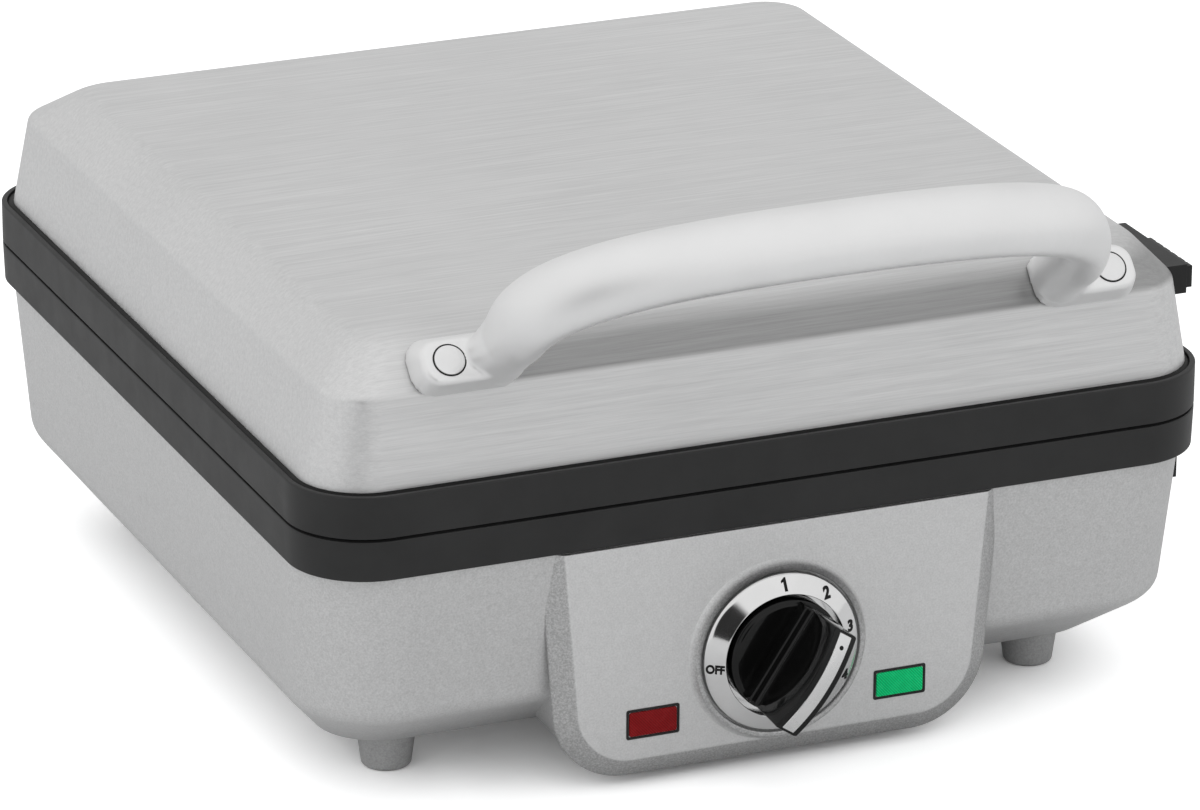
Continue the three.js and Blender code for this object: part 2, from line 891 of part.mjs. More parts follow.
const panelRoom = solid(frontFrame, [
  [edgeOutline(-fitGap, panelTopDrop - overCut), boxFrontW],
  [edgeOutline(-fitGap, panelTopDrop - overCut), panelFaceY + overCut],
]);
const floorOpening = solid(planFrame, [
  [
    roundedRect(floorOpeningHalf, floorOpeningFront, floorOpeningBack, floorOpeningCorner),
    -baseLowDrop - overCut,
  ],
  [
    roundedRect(floorOpeningHalf, floorOpeningFront, floorOpeningBack, floorOpeningCorner),
    -baseLowDrop + overCut,
  ],
]);
const jamb = block(frontFrame, jambInner, jambOuter, -jambDrop, baseTopW,
  boxFrontW - jambDepth, boxFrontW);
const lowerBezelRoom = block(
  sideFrame,
  -lowerButtonFrontY - lowerBezelRim - fitGap,
  -lowerButtonBackY + lowerBezelRim + fitGap,
  -lowerButtonLow - lowerBezelRim - fitGap,
  -lowerButtonHigh + lowerBezelRim + fitGap,
  lowerBezelInner - overCut,
  lowerBezelOuter + overCut,
);
const coverScrews = [
  ['cover_screw_1', -coverScrewX, -coverScrewFront],
  ['cover_screw_2', coverScrewX, -coverScrewFront],
  ['cover_screw_3', -coverScrewX, coverScrewBack],
  ['cover_screw_4', coverScrewX, coverScrewBack],
];
const coverScrewBores = coverScrews.map(([, x, y]) => rod(
  planFrame,
  x,
  y,
  [[screwHoleRadius, -baseLowDrop - overCut], [screwHoleRadius, -baseLowDrop + overCut]],
  screwSegments,
));
const glandRoom = rod(
  frontFrame,
  glandX,
  -glandDrop,
  [[glandRadius + fitGap, -baseTopDepth - overCut], [glandRadius + fitGap, -boxBackY]],
  smallSegments,
);
const trayRoomOutline = roundedRect(
  trayWallHalf + trayRoomGap, trayWallDepth + trayRoomGap, trayWallDepth + trayRoomGap, trayCorner,
);
const trayRoom = solid(planFrame, [
  [trayRoomOutline, -trayFloorDrop - trayRoomGap],
  [trayRoomOutline, overCut],
]);
const solidBase = join(baseShell, boxOuter);
const openBase = cut(solidBase, boxInner, panelRoom, floorOpening, trayRoom);
const housing = cut(
  join(openBase, jamb, toLeft(jamb)),
  lowerBezelRoom,
  glandRoom,
  ...coverScrewBores,
);
const paintedSilver = material(0xb3b3b1, 0.5, 0.35);
addPart('base_housing', housing, paintedSilver);

// Control panel cover
const faceOutline = panelOutline(
  panelFaceTopHalf,
  panelFaceLowHalf,
  panelFaceLowDrop,
  panelFaceBottomDrop,
  panelFaceCorner,
  panelTopDrop,
);
const faceInner = panelOutline(
  panelFaceTopHalf - panelWall / 2,
  panelFaceLowHalf - panelWall / 2,
  panelFaceLowDrop,
  panelFaceBottomDrop - panelWall / 2,
  panelFaceCorner - panelWall / 2,
  panelTopDrop + panelWall,
);
const edgeInner = edgeOutline(panelWall, panelTopDrop + panelWall);
const panelShell = loft([
  ring(frontFrame, faceInner, panelFaceY - panelWall),
  ring(frontFrame, edgeInner, panelEdgeW - panelWall / 2),
  ring(frontFrame, edgeInner, panelBackW),
  ring(frontFrame, edgeOutline(0, panelTopDrop), panelBackW),
  ring(frontFrame, edgeOutline(0, panelTopDrop), panelEdgeW),
  ring(frontFrame, faceOutline, panelFaceY),
]);
const boss = rod(frontFrame, 0, -dialDrop, [
  [bossRadius, panelFaceY - panelWall / 2],
  [bossRadius, panelFaceY],
  [bossTopRadius, panelFaceY + bossHeight - bossEdge],
  [bossTopRadius - bossEdge, panelFaceY + bossHeight],
], dialSegments);
const dialRecess = rod(frontFrame, 0, -dialDrop, [
  [dialRecessRadius, panelFaceY - panelWall + dialFloor],
  [dialRecessRadius, panelFaceY + bossHeight + overCut],
], dialSegments);
const panelShaftHole = rod(frontFrame, 0, -dialDrop, [
  [panelShaftHoleRadius, panelFaceY - panelWall - overCut],
  [panelShaftHoleRadius, panelFaceY + overCut],
], smallSegments);
const bezelOuterWidth = lensWidth + 2 * bezelRim + 2 * fitGap;
const bezelOuterHeight = lensHeight + 2 * bezelRim + 2 * fitGap;
function lightOutline(x, width, height) {
  const outline = roundedRect(width / 2, height / 2, height / 2, lensCorner);
  return outline.map(([u, v]) => [u + x, v - lensDrop]);
}
function lightBody(x, width, height, w0, w1) {
  const outline = lightOutline(x, width, height);
  return solid(frontFrame, [[outline, w0], [outline, w1]]);
}
const lightHoles = [-lensX, lensX].map((x) => lightBody(
  x,
  bezelOuterWidth + 2 * fitGap,
  bezelOuterHeight + 2 * fitGap,
  panelFaceY - panelWall - overCut,
  panelFaceY + overCut,
));
const panelPaint = material(0xbababa, 0.5, 0.35);
addPart(
  'control_panel',
  cut(join(panelShell, boss), dialRecess, panelShaftHole, ...lightHoles),
  panelPaint,
);

// Dial ring
const dialBackW = panelFaceY - panelWall + dialFloor + fitGap;
addPart('dial_ring', turnedRing(frontFrame, 0, -dialDrop, [
  [shaftHoleRadius, dialBackW],
  [dialRadius, dialBackW],
  [dialRadius, panelFaceY + dialRise - dialEdge],
  [dialRadius - dialEdge, panelFaceY + dialRise],
  [dialInnerRadius + dialEdge, panelFaceY + dialInnerRise],
  [dialInnerRadius, panelFaceY + dialInnerRise - dialEdge],
  [dialInnerRadius, dialBackW + dialPlate],
  [shaftHoleRadius, dialBackW + dialPlate],
], dialSegments), material(0xc9c9c9, 0.22, 1));

// Knob, turned clockwise so that it points up and to the right
const knobTurn = THREE.MathUtils.degToRad(knobAngle);
const pointer = new THREE.Vector3(Math.sin(knobTurn), 0, Math.cos(knobTurn));
const pointerSide = new THREE.Vector3(Math.cos(knobTurn), 0, -Math.sin(knobTurn));
const dialCentre = new THREE.Vector3(0, -panelFaceY, seamZ - dialDrop);
const knobFrame = makeFrame(dialCentre, pointerSide, pointer);
const gripFrame = makeFrame(dialCentre, pointer, knobFrame.out); // out is across the grip
function frontEdge(halfLength, shift) {
  const points = [];
  for (let i = 0; i <= gripSteps; i += 1) {
    const share = 1 - (2 * i) / gripSteps;
    const along = share * halfLength;
    points.push([along, gripFrontRise - gripCrown * (along / gripLength) ** 2 + shift]);
  }
  return points;
}
function gripOutline(inset) {
  return [
    [-gripBaseLength + inset, skirtEdgeRise],
    [gripBaseLength - inset, skirtEdgeRise],
    ...frontEdge(gripLength - inset, -inset),
  ];
}
const skirt = rod(knobFrame, 0, 0, [
  [skirtRadius, skirtBackRise],
  [skirtRadius, skirtEdgeRise],
  [skirtTopRadius, skirtFrontRise],
], dialSegments);
const grip = solid(gripFrame, [
  [gripOutline(gripEdge), -gripHalfWidth],
  [gripOutline(0), -gripHalfWidth + gripEdge],
  [gripOutline(0), gripHalfWidth - gripEdge],
  [gripOutline(gripEdge), gripHalfWidth],
]);
const gripRoot = solid(knobFrame, [
  [gripRootHalf, skirtEdgeRise],
  [gripRootHalf, gripRootSideRise],
  [gripRootMidHalf, gripRootMidRise],
  [gripHalfWidth - gripEdge, gripRootRise],
].map(([half, rise]) => [rectangle(-half, half, -gripRootLength, gripRootLength), rise]));
const inlayLength = gripLength - inlayEndGap;
const inlayRoom = prism(
  gripFrame,
  [
    ...frontEdge(inlayLength + fitGap, overCut),
    ...frontEdge(inlayLength + fitGap, -inlayDepth - fitGap).reverse(),
  ],
  -inlayHalfWidth - fitGap,
  inlayHalfWidth + fitGap,
);
const shaftEndRise = skirtBackRise + knobBoreDepth;
const knobBore = rod(knobFrame, 0, 0, [
  [shaftHoleRadius, -overCut],
  [shaftHoleRadius, shaftEndRise + fitGap],
], smallSegments);
const glossBlack = material(0x0d0d0d, 0.12, 0);
addPart('knob', cut(join(skirt, grip, gripRoot), inlayRoom, knobBore), glossBlack);
addPart('knob_inlay', prism(
  gripFrame,
  [...frontEdge(inlayLength, inlayProud), ...frontEdge(inlayLength, -inlayDepth).reverse()],
  -inlayHalfWidth,
  inlayHalfWidth,
), material(0xd6d6d6, 0.3, 0.9));
addPart('thermostat_shaft', rod(knobFrame, 0, 0, [
  [shaftRadius, -shaftTail],
  [shaftRadius, shaftEndRise],
], smallSegments), material(0xb9bbbd, 0.35, 1));

// Thermostat behind the panel
const neckFrontW = panelFaceY - panelWall - fitGap;
const neckBackW = neckFrontW - thermostatNeckLength;
const thermostatBody = block(
  frontFrame,
  -thermostatHalf,
  thermostatHalf,
  -dialDrop - thermostatHalf,
  -dialDrop + thermostatHalf,
  neckBackW - thermostatDepth,
  neckBackW,
);
const thermostatNeck = rod(frontFrame, 0, -dialDrop, [
  [thermostatNeckRadius, neckBackW - thermostatDepth / 2],
  [thermostatNeckRadius, neckFrontW],
], smallSegments);
const thermostatBore = rod(frontFrame, 0, -dialDrop, [
  [shaftHoleRadius, panelFaceY - shaftTail - fitGap],
  [shaftHoleRadius, panelFaceY + overCut],
], smallSegments);
addPart(
  'thermostat',
  cut(join(thermostatBody, thermostatNeck), thermostatBore),
  material(0xd8d2c4, 0.6, 0),
);

// Indicator lights
const bezelLook = material(0x101010, 0.4, 0);
const lampLook = material(0xe9e4da, 0.3, 0);
const lightSet = [
  ['heating', -lensX, material(0x9c1116, 0.25, 0)],
  ['ready', lensX, material(0x12a352, 0.25, 0)],
];
for (const [name, x, lensLook] of lightSet) {
  const lensFrontW = panelFaceY + lensProud;
  const bezelFrontW = panelFaceY + bezelProud;
  const bezelBody = lightBody(
    x, bezelOuterWidth, bezelOuterHeight, bezelFrontW - bezelDepth, bezelFrontW,
  );
  const bezelHole = lightBody(
    x,
    lensWidth + 2 * fitGap,
    lensHeight + 2 * fitGap,
    bezelFrontW - bezelDepth - overCut,
    bezelFrontW + overCut,
  );
  addPart(`${name}_bezel`, cut(bezelBody, bezelHole), bezelLook);
  addPart(
    `${name}_lens`,
    lightBody(x, lensWidth, lensHeight, lensFrontW - lensDepth, lensFrontW),
    lensLook,
  );
  const lampFrontW = lensFrontW - lensDepth - fitGap;
  addPart(`${name}_lamp`, rod(frontFrame, x, -lensDrop, [
    [lampRadius, lampFrontW - lampLength],
    [lampRadius, lampFrontW - lampRadius / 2],
    [lampRadius / 2, lampFrontW],
  ], screwSegments), lampLook);
}

// Feet
const footSpots = [
  ['foot_front_left', -footX, -footY],
  ['foot_front_right', footX, -footY],
  ['foot_rear_left', -footX, footY],
  ['foot_rear_right', footX, footY],
];
const footLook = material(0xa9a9a7, 0.5, 0.3);
for (const [name, x, y] of footSpots) {
  addPart(name, rod(planFrame, x, y, [
    [footLowRadius - footRound, -seamZ],
    [footLowRadius - footRound * (1 - Math.SQRT1_2), -seamZ + footRound * (1 - Math.SQRT1_2)],
    [footLowRadius, -seamZ + footRound],
    [footTopRadius, -baseLowDrop - fitGap],
  ], smallSegments), footLook);
}

// Service cover and its screws
const coverTopW = -baseLowDrop - fitGap;
const coverOutline = roundedRect(coverHalf, coverFront, coverBack, coverCorner);
const coverPlate = solid(planFrame, [
  [coverOutline, coverTopW - coverThickness],
  [coverOutline, coverTopW],
]);
const vents = [];
for (let i = 0; i < ventCount; i += 1) {
  const x = (i - (ventCount - 1) / 2) * ventPitch;
  vents.push(block(
    planFrame,
    x - ventHalfWidth,
    x + ventHalfWidth,
    ventBackShift - ventHalfLength,
    ventBackShift + ventHalfLength,
    coverTopW - coverThickness - overCut,
    coverTopW + overCut,
  ));
}
addPart(
  'bottom_cover',
  cut(coverPlate, ...vents, ...coverScrewBores),
  material(0x9b9c9d, 0.45, 0.8),
);
const screwLook = material(0x8c8e90, 0.4, 1);
const coverHeadW = coverTopW - coverThickness - fitGap;
for (const [name, x, y] of coverScrews) {
  const head = rod(planFrame, x, y, [
    [screwHeadRadius - driveHalfWidth, coverHeadW - screwHeadHeight],
    [screwHeadRadius, coverHeadW - screwHeadHeight / 2],
    [screwHeadRadius, coverHeadW],
  ], screwSegments);
  const shank = rod(planFrame, x, y, [
    [screwShankRadius, coverHeadW - screwHeadHeight / 2],
    [screwShankRadius, coverHeadW + screwLength],
  ], screwSegments);
  const slot = block(
    planFrame,
    x - driveHalfLength,
    x + driveHalfLength,
    y - driveHalfWidth,
    y + driveHalfWidth,
    coverHeadW - screwHeadHeight - overCut,
    coverHeadW - screwHeadHeight + driveDepth,
  );
  addPart(name, cut(join(head, shank), slot), screwLook);
}

// Waffle plate, drawn for the base and turned over for the lid
function levelOf(half, depth, corner, w) {
  return level(half, depth, depth, corner, w);
}
const plateBlank = loft([
  levelOf(plateHalf - plateFootInset, plateDepth - plateFootInset, plateCorner, -plateBottomDrop),
  levelOf(plateHalf, plateDepth, plateCorner, -plateBottomDrop + plateFootInset),
  levelOf(plateHalf, plateDepth, plateCorner, -plateTopDrop - plateEdge),
  levelOf(plateHalf - plateEdge, plateDepth - plateEdge, plateCorner, -plateTopDrop),
].map(planRing));
const field = solid(planFrame, [
  [roundedRect(fieldHalf, fieldDepth, fieldDepth, fieldCorner), -fieldDrop],
  [roundedRect(fieldHalf, fieldDepth, fieldDepth, fieldCorner), overCut],
]);
const pocketHalfX = (fieldHalf - dividerHalf - fieldLedge) / 2;
const pocketHalfY = (fieldDepth - dividerHalf - fieldLedge) / 2;
const pocketX = dividerHalf + pocketHalfX;
const pocketY = dividerHalf + pocketHalfY;
const pocketSlope = pocketDraft / (pocketDrop - fieldDrop);
function shifted(outline, x, y) {
  return outline.map(([u, v]) => [u + x, v + y]);
}
function pocket(x, y) {
  const grow = pocketSlope * pocketOver;
  const low = roundedRect(
    pocketHalfX - pocketDraft, pocketHalfY - pocketDraft, pocketHalfY - pocketDraft, pocketCorner,
  );
  const high = roundedRect(
    pocketHalfX + grow, pocketHalfY + grow, pocketHalfY + grow, pocketCorner + pocketDraft,
  );
  return solid(planFrame, [
    [shifted(low, x, y), -pocketDrop],
    [shifted(high, x, y), -fieldDrop + pocketOver],
  ]);
}
function square(x, y, half) {
  return rectangle(x - half, x + half, y - half, y + half);
}
const studSlope = (studBaseHalf - studTopHalf) / (pocketDrop - studTopDrop);
const pockets = [];
const studs = [];
for (const x of [-pocketX, pocketX]) {
  for (const y of [-pocketY, pocketY]) {
    pockets.push(pocket(x, y));
    for (let i = 0; i < studCount; i += 1) {
      for (let j = 0; j < studCount; j += 1) {
        const shareX = (2 * i + 1) / studCount - 1;
        const shareY = (2 * j + 1) / studCount - 1;
        const studX = x + shareX * (pocketHalfX - pocketDraft);
        const studY = y + shareY * (pocketHalfY - pocketDraft);
        studs.push(solid(planFrame, [
          [square(studX, studY, studBaseHalf + studSlope * studRoot), -pocketDrop - studRoot],
          [square(studX, studY, studTopHalf), -studTopDrop],
        ]));
      }
    }
  }
}
const allStuds = BufferGeometryUtils.mergeGeometries(studs);
const lug = prism(
  makeFrame(seamPoint, axisX, axisZ),
  [
    [lugPostOuter, -plateBottomDrop + plateFootInset],
    [lugPostInner, -plateBottomDrop + plateFootInset],
    [lugPostInner, -lugDrop + lugLipThickness],
    [lugPostInner - lugLip, -lugDrop + lugLipThickness],
    [lugPostInner - lugLip, -lugDrop],
    [lugPostOuter, -lugDrop],
  ].reverse(),
  catchY - catchHalf,
  catchY + catchHalf,
);
const clipGroove = block(
  planFrame,
  -plateHalf - overCut,
  -plateHalf + clipTongue + clipGap,
  -clipHalfLength - clipGap,
  clipHalfLength + clipGap,
  -clipDrop - clipThickness - clipGap,
  -clipDrop + clipGap,
);
const plate = join(cut(plateBlank, field, ...pockets, clipGroove), allStuds, lug);
const castPlate = material(0x2b2b2c, 0.55, 0.2);
addPart('lower_waffle_plate', plate, castPlate);
addPart('upper_waffle_plate', aboveSplit(plate), castPlate);

// Heat tray, drawn for the base and turned over for the lid
const trayRimW = -floorTop - fitGap;
const trayLevels = [
  levelOf(trayFloorHalf, trayFloorDepth, trayCorner, -trayFloorDrop),
  levelOf(trayWallHalf, trayWallDepth, trayCorner, -trayBend),
  levelOf(trayWallHalf, trayWallDepth, trayCorner, trayRimW - traySheet),
];
const trayRimLevel = levelOf(
  openingHalf + trayRim, openingDepth + trayRim, trayCorner + trayRim, trayRimW - traySheet,
);
const trayInner = insideOf(trayLevels, traySheet);
trayInner[0].w = -trayFloorDrop + traySheet;
trayInner[trayInner.length - 1].w = trayRimW;
const trayShell = loft([
  ...trayLevels,
  trayRimLevel,
  { ...trayRimLevel, w: trayRimW },
  ...trayInner.reverse(),
].map(planRing));
const heaterW = -plateBottomDrop - heaterGap - heaterRadius;
const postTopW = heaterW - heaterRadius - fitGap;
const postSpots = [
  [-heaterHalf, 0],
  [heaterHalf, 0],
  [-heaterHalf / 2, -heaterDepth],
  [heaterHalf / 2, -heaterDepth],
];
const posts = postSpots.map(([x, y]) => block(
  planFrame,
  x - postHalf,
  x + postHalf,
  y - postHalf,
  y + postHalf,
  -trayFloorDrop + traySheet / 2,
  postTopW,
));
const armLowW = -armTopDrop - armThickness;
const armSlot = block(
  planFrame,
  plateHalf - overCut,
  trayWallHalf + overCut,
  -catchY - catchHalf - hookSlotGap,
  -catchY + catchHalf + hookSlotGap,
  armLowW - hookSlotGap,
  -armTopDrop + hookSlotGap,
);
const heaterHoles = [-heaterTailX, heaterTailX].map((x) => rod(
  makeFrame(seamPoint, axisZ, axisX),
  heaterW,
  x,
  [[heaterHoleRadius, heaterDepth], [heaterHoleRadius, heaterTailEnd]],
  screwSegments,
));
const tray = cut(join(trayShell, ...posts), armSlot, ...heaterHoles);
const trayLook = material(0xa7a9aa, 0.4, 0.9);
addPart('lower_tray', tray, trayLook);
addPart('upper_tray', aboveSplit(tray), trayLook);

// Heating element: one bent rod with both tails through the back of the tray
function bend(points, cu, cv, radius, fromTurn, toTurn) {
  for (let i = 0; i <= bendSteps; i += 1) {
    const angle = (fromTurn + ((toTurn - fromTurn) * i) / bendSteps) * 2 * Math.PI;
    points.push([cu + radius * Math.cos(angle), cv + radius * Math.sin(angle)]);
  }
}
const heaterPath = [[-heaterTailX, heaterTailEnd]];
bend(heaterPath, -heaterTailX - heaterTailBend, heaterDepth + heaterTailBend,
  heaterTailBend, 0, -0.25);
bend(heaterPath, -heaterHalf + heaterBend, heaterDepth - heaterBend, heaterBend, 0.25, 0.5);
bend(heaterPath, -heaterHalf + heaterBend, -heaterDepth + heaterBend, heaterBend, 0.5, 0.75);
bend(heaterPath, heaterHalf - heaterBend, -heaterDepth + heaterBend, heaterBend, 0.75, 1);
bend(heaterPath, heaterHalf - heaterBend, heaterDepth - heaterBend, heaterBend, 0, 0.25);
bend(heaterPath, heaterTailX + heaterTailBend, heaterDepth + heaterTailBend,
  heaterTailBend, -0.25, -0.5);
heaterPath.push([heaterTailX, heaterTailEnd]);
function sweptRod(path, w, radius) {
  const rings = path.map(([u, v], i) => {
    const before = path[Math.max(i - 1, 0)];
    const after = path[Math.min(i + 1, path.length - 1)];
    const forward = new THREE.Vector2(after[0] - before[0], after[1] - before[1]).normalize();
    const centre = at(planFrame, u, v, w);
    const across = new THREE.Vector3(forward.y, -forward.x, 0);
    const points = [];
    for (let j = 0; j < rodSegments; j += 1) {
      const angle = (2 * Math.PI * (j + 0.5)) / rodSegments;
      points.push(centre.clone()
        .addScaledVector(across, radius * Math.cos(angle))
        .addScaledVector(axisZ, radius * Math.sin(angle)));
    }
    return points;
  });
  return loft(rings);
}
const heater = sweptRod(heaterPath, heaterW, heaterRadius);
const heaterLook = material(0x6d6a66, 0.55, 0.8);
addPart('lower_heater', reversed(heater.clone()), heaterLook);
addPart('upper_heater', aboveSplit(reversed(heater.clone())), heaterLook);

// Fixed clip that holds the other side of a plate
const clipBackX = -trayWallHalf + traySheet + fitGap;
const clipTipX = -plateHalf + clipTongue;
const clip = prism(
  makeFrame(seamPoint, axisX, axisZ),
  [
    [clipBackX, -clipDrop],
    [clipBackX, -clipDrop - clipFootHeight],
    [clipBackX + clipFootThickness, -clipDrop - clipFootHeight],
    [clipBackX + clipFootThickness, -clipDrop - clipThickness],
    [clipTipX, -clipDrop - clipThickness],
    [clipTipX, -clipDrop],
  ],
  -clipHalfLength,
  clipHalfLength,
);
const clipLook = material(0xb4b6b8, 0.35, 1);
addPart('lower_plate_clip', clip, clipLook);
addPart('upper_plate_clip', aboveSplit(clip), clipLook);

// Hook at the inner end of a release button, drawn for the base
const hookLipTopW = -lugDrop + lugLipThickness + hookLipGap + hookLipThickness;
const hookTipX = lugPostInner - lugLip + lipOverlap;
const hook = prism(
  makeFrame(seamPoint, axisX, axisZ),
  [
    [hookInner, armLowW],
    [legInner + legThickness, armLowW],
    [legInner + legThickness, -armTopDrop],
    [hookInner + hookThickness, -armTopDrop],
    [hookInner + hookThickness, hookLipTopW - hookLipThickness],
    [hookTipX, hookLipTopW - hookLipThickness],
    [hookTipX, hookLipTopW],
    [hookInner, hookLipTopW],
  ],
  catchY - catchHalf,
  catchY + catchHalf,
);

function ribbedButton(halfLength, low, high, outer) {
  const body = block(
    sideFrame,
    -catchY - halfLength + buttonGap,
    -catchY + halfLength - buttonGap,
    low,
    high,
    outer - buttonDepth,
    outer,
  );
  const grooves = [];
  for (let i = 0; i < gripGrooves; i += 1) {
    const share = (i + 1) / (gripGrooves + 1);
    const y = -catchY + halfLength * (2 * share - 1);
    grooves.push(block(
      sideFrame,
      y - gripGrooveWidth / 2,
      y + gripGrooveWidth / 2,
      low - overCut,
      high + overCut,
      outer - gripGrooveDepth,
      outer + overCut,
    ));
  }
  return cut(body, ...grooves);
}

// Upper release: button in the lid side, leg down to the hook
const buttonLook = material(0x1a1a1b, 0.5, 0);
const upperCentre = (upperButtonLow + upperButtonHigh) / 2;
const upperStem = block(
  sideFrame,
  -catchY - catchHalf,
  -catchY + catchHalf,
  upperCentre - stemThickness / 2,
  upperCentre + stemThickness / 2,
  legInner,
  upperButtonOuter - buttonDepth / 2,
);
const upperLeg = block(
  sideFrame,
  -catchY - catchHalf,
  -catchY + catchHalf,
  armTopDrop,
  upperCentre + stemThickness / 2,
  legInner,
  legInner + legThickness,
);
const upperButton = ribbedButton(
  buttonHalfLength, upperButtonLow + buttonGap, upperButtonHigh - buttonGap, upperButtonOuter,
);
addPart(
  'upper_release_button',
  join(upperButton, upperStem, upperLeg, aboveSplit(hook)),
  buttonLook,
);
const upperBezelBody = block(
  sideFrame,
  -upperBezelFrontY,
  -upperBezelBackY,
  upperBezelLow,
  upperBezelHigh,
  upperBezelInner,
  upperBezelOuter,
);
const upperBezelOpening = block(
  sideFrame,
  -buttonFrontY,
  -buttonBackY,
  upperButtonLow,
  upperButtonHigh,
  upperBezelInner - overCut,
  upperBezelOuter + overCut,
);
addPart('upper_release_bezel', cut(upperBezelBody, upperBezelOpening), buttonLook);

// Lower release: the stem runs straight in from the base side
const lowerStem = block(
  sideFrame,
  -catchY - catchHalf,
  -catchY + catchHalf,
  armLowW,
  -armTopDrop,
  legInner,
  lowerButtonOuter - buttonDepth / 2,
);
const lowerButton = ribbedButton(
  lowerButtonHalfLength,
  -lowerButtonLow + buttonGap,
  -lowerButtonHigh - buttonGap,
  lowerButtonOuter,
);
addPart('lower_release_button', join(lowerButton, lowerStem, hook), buttonLook);
const lowerBezelBody = block(
  sideFrame,
  -lowerButtonFrontY - lowerBezelRim,
  -lowerButtonBackY + lowerBezelRim,
  -lowerButtonLow - lowerBezelRim,
  -lowerButtonHigh + lowerBezelRim,
  lowerBezelInner,
  lowerBezelOuter,
);
const lowerBezelOpening = block(
  sideFrame,
  -lowerButtonFrontY,
  -lowerButtonBackY,
  -lowerButtonLow,
  -lowerButtonHigh,
  lowerBezelInner - overCut,
  lowerBezelOuter + overCut,
);
addPart('lower_release_bezel', cut(lowerBezelBody, lowerBezelOpening), buttonLook);

// Handle: two flanges on the front slope and an arch between them
function flangeOutline(side, inner, outer, low, high, corner) {
  const half = (outer - inner) / 2;
  const rise = (high - low) / 2;
  const outline = roundedRect(half, rise, rise, corner);
  return shifted(outline, (side * (outer + inner)) / 2, (high + low) / 2);
}
function flangeBody(side) {
  const foot = flangeOutline(
    side, flangeInnerX, flangeOuterX, flangeLow, flangeHigh, flangeCorner,
  );
  const face = flangeOutline(
    side,
    flangeFaceInnerX,
    flangeFaceOuterX,
    flangeFaceLow,
    flangeFaceHigh,
    flangeFaceCorner,
  );
  const faceTop = flangeOutline(
    side,
    flangeFaceInnerX + flangeEdge,
    flangeFaceOuterX - flangeEdge,
    flangeFaceLow + flangeEdge,
    flangeFaceHigh - flangeEdge,
    flangeFaceCorner - flangeEdge,
  );
  return solid(slopeFrame, [
    [foot, fitGap],
    [face, flangeHeight - flangeEdge],
    [faceTop, flangeHeight],
  ]);
}
const leanAngle = THREE.MathUtils.degToRad(archLean);
const archUp = new THREE.Vector3(0, -Math.cos(leanAngle), Math.sin(leanAngle));
const archSide = new THREE.Vector3(0, Math.sin(leanAngle), Math.cos(leanAngle));
const archFoot = at(slopeFrame, 0, archFootRise, flangeHeight);

function archPoint(share) {
  const angle = Math.PI * (1 - share);
  const cosine = Math.cos(angle);
  const sine = Math.sin(angle);
  const x = archRootX * Math.sign(cosine) * Math.abs(cosine) ** (2 / archPower);
  const rise = archRise * Math.abs(sine) ** (2 / archPower);
  const bow = archBow * (1 - (x / archRootX) ** 2);
  return new THREE.Vector2(x, rise + bow);
}
const archPath = [new THREE.Vector2(-archRootX, -archSink)];
for (let i = 0; i <= archSteps; i += 1) {
  archPath.push(archPoint(i / archSteps));
}
archPath.push(new THREE.Vector2(archRootX, -archSink));
function smoothStep(share) {
  const held = Math.min(Math.max(share, 0), 1);
  return held * held * (3 - 2 * held);
}
const archRings = archPath.map((point, i) => {
  const before = archPath[Math.max(i - 1, 0)];
  const after = archPath[Math.min(i + 1, archPath.length - 1)];
  const forward = after.clone().sub(before).normalize();
  const centre = archFoot.clone()
    .addScaledVector(axisX, point.x)
    .addScaledVector(archUp, point.y);
  const inward = axisX.clone().multiplyScalar(forward.y)
    .addScaledVector(archUp, -forward.x);
  const height = Math.max(point.y, 0);
  const across = rootAcross + (gripAcross - rootAcross) * smoothStep(height / rootLength);
  const swell = rootSwell * (1 - smoothStep(height / rootSwellLength));
  const points = [];
  for (let j = 0; j < archSegments; j += 1) {
    const angle = (2 * Math.PI * j) / archSegments;
    const outward = Math.max(-Math.cos(angle), 0); // the root widens on its outer side only
    points.push(centre.clone()
      .addScaledVector(inward, (gripInPlane + swell * outward) * Math.cos(angle))
      .addScaledVector(archSide, across * Math.sin(angle)));
  }
  return points;
});
const arch = loft(archRings);
const capBores = [-capX, capX].flatMap((x) => [
  rod(slopeFrame, x, capRise, [
    [capRadius + capBoreGap, flangeHeight - capBoreDepth],
    [capRadius + capBoreGap, flangeHeight + overCut],
  ], smallSegments),
  rod(slopeFrame, x, capRise, [
    [handleScrewHead + fitGap, flangeHeight - capBoreDepth - handleScrewHeadHeight - 2 * fitGap],
    [handleScrewHead + fitGap, flangeHeight],
  ], smallSegments),
]);
const handle = cut(
  join(arch, flangeBody(1), flangeBody(-1)),
  ...capBores,
  ...handleScrewBores,
);
const castMetal = material(0xb9b8b5, 0.32, 0.9);
addPart('handle', handle, castMetal);
const screwHeadTopW = flangeHeight - capBoreDepth - fitGap;
for (const [side, x] of [['left', -capX], ['right', capX]]) {
  addPart(`handle_cap_${side}`, rod(slopeFrame, x, capRise, [
    [capRadius, flangeHeight - capDepth],
    [capRadius, flangeHeight + capProud - capEdge],
    [capRadius - capEdge, flangeHeight + capProud],
  ], smallSegments), material(0xd2d2d0, 0.3, 0.9));
  const head = rod(slopeFrame, x, capRise, [
    [handleScrewHead, screwHeadTopW - handleScrewHeadHeight],
    [handleScrewHead, screwHeadTopW],
  ], screwSegments);
  const shank = rod(slopeFrame, x, capRise, [
    [handleScrewShank, fitGap - handleScrewReach],
    [handleScrewShank, screwHeadTopW - handleScrewHeadHeight / 2],
  ], screwSegments);
  addPart(`handle_screw_${side}`, join(head, shank), screwLook);
}

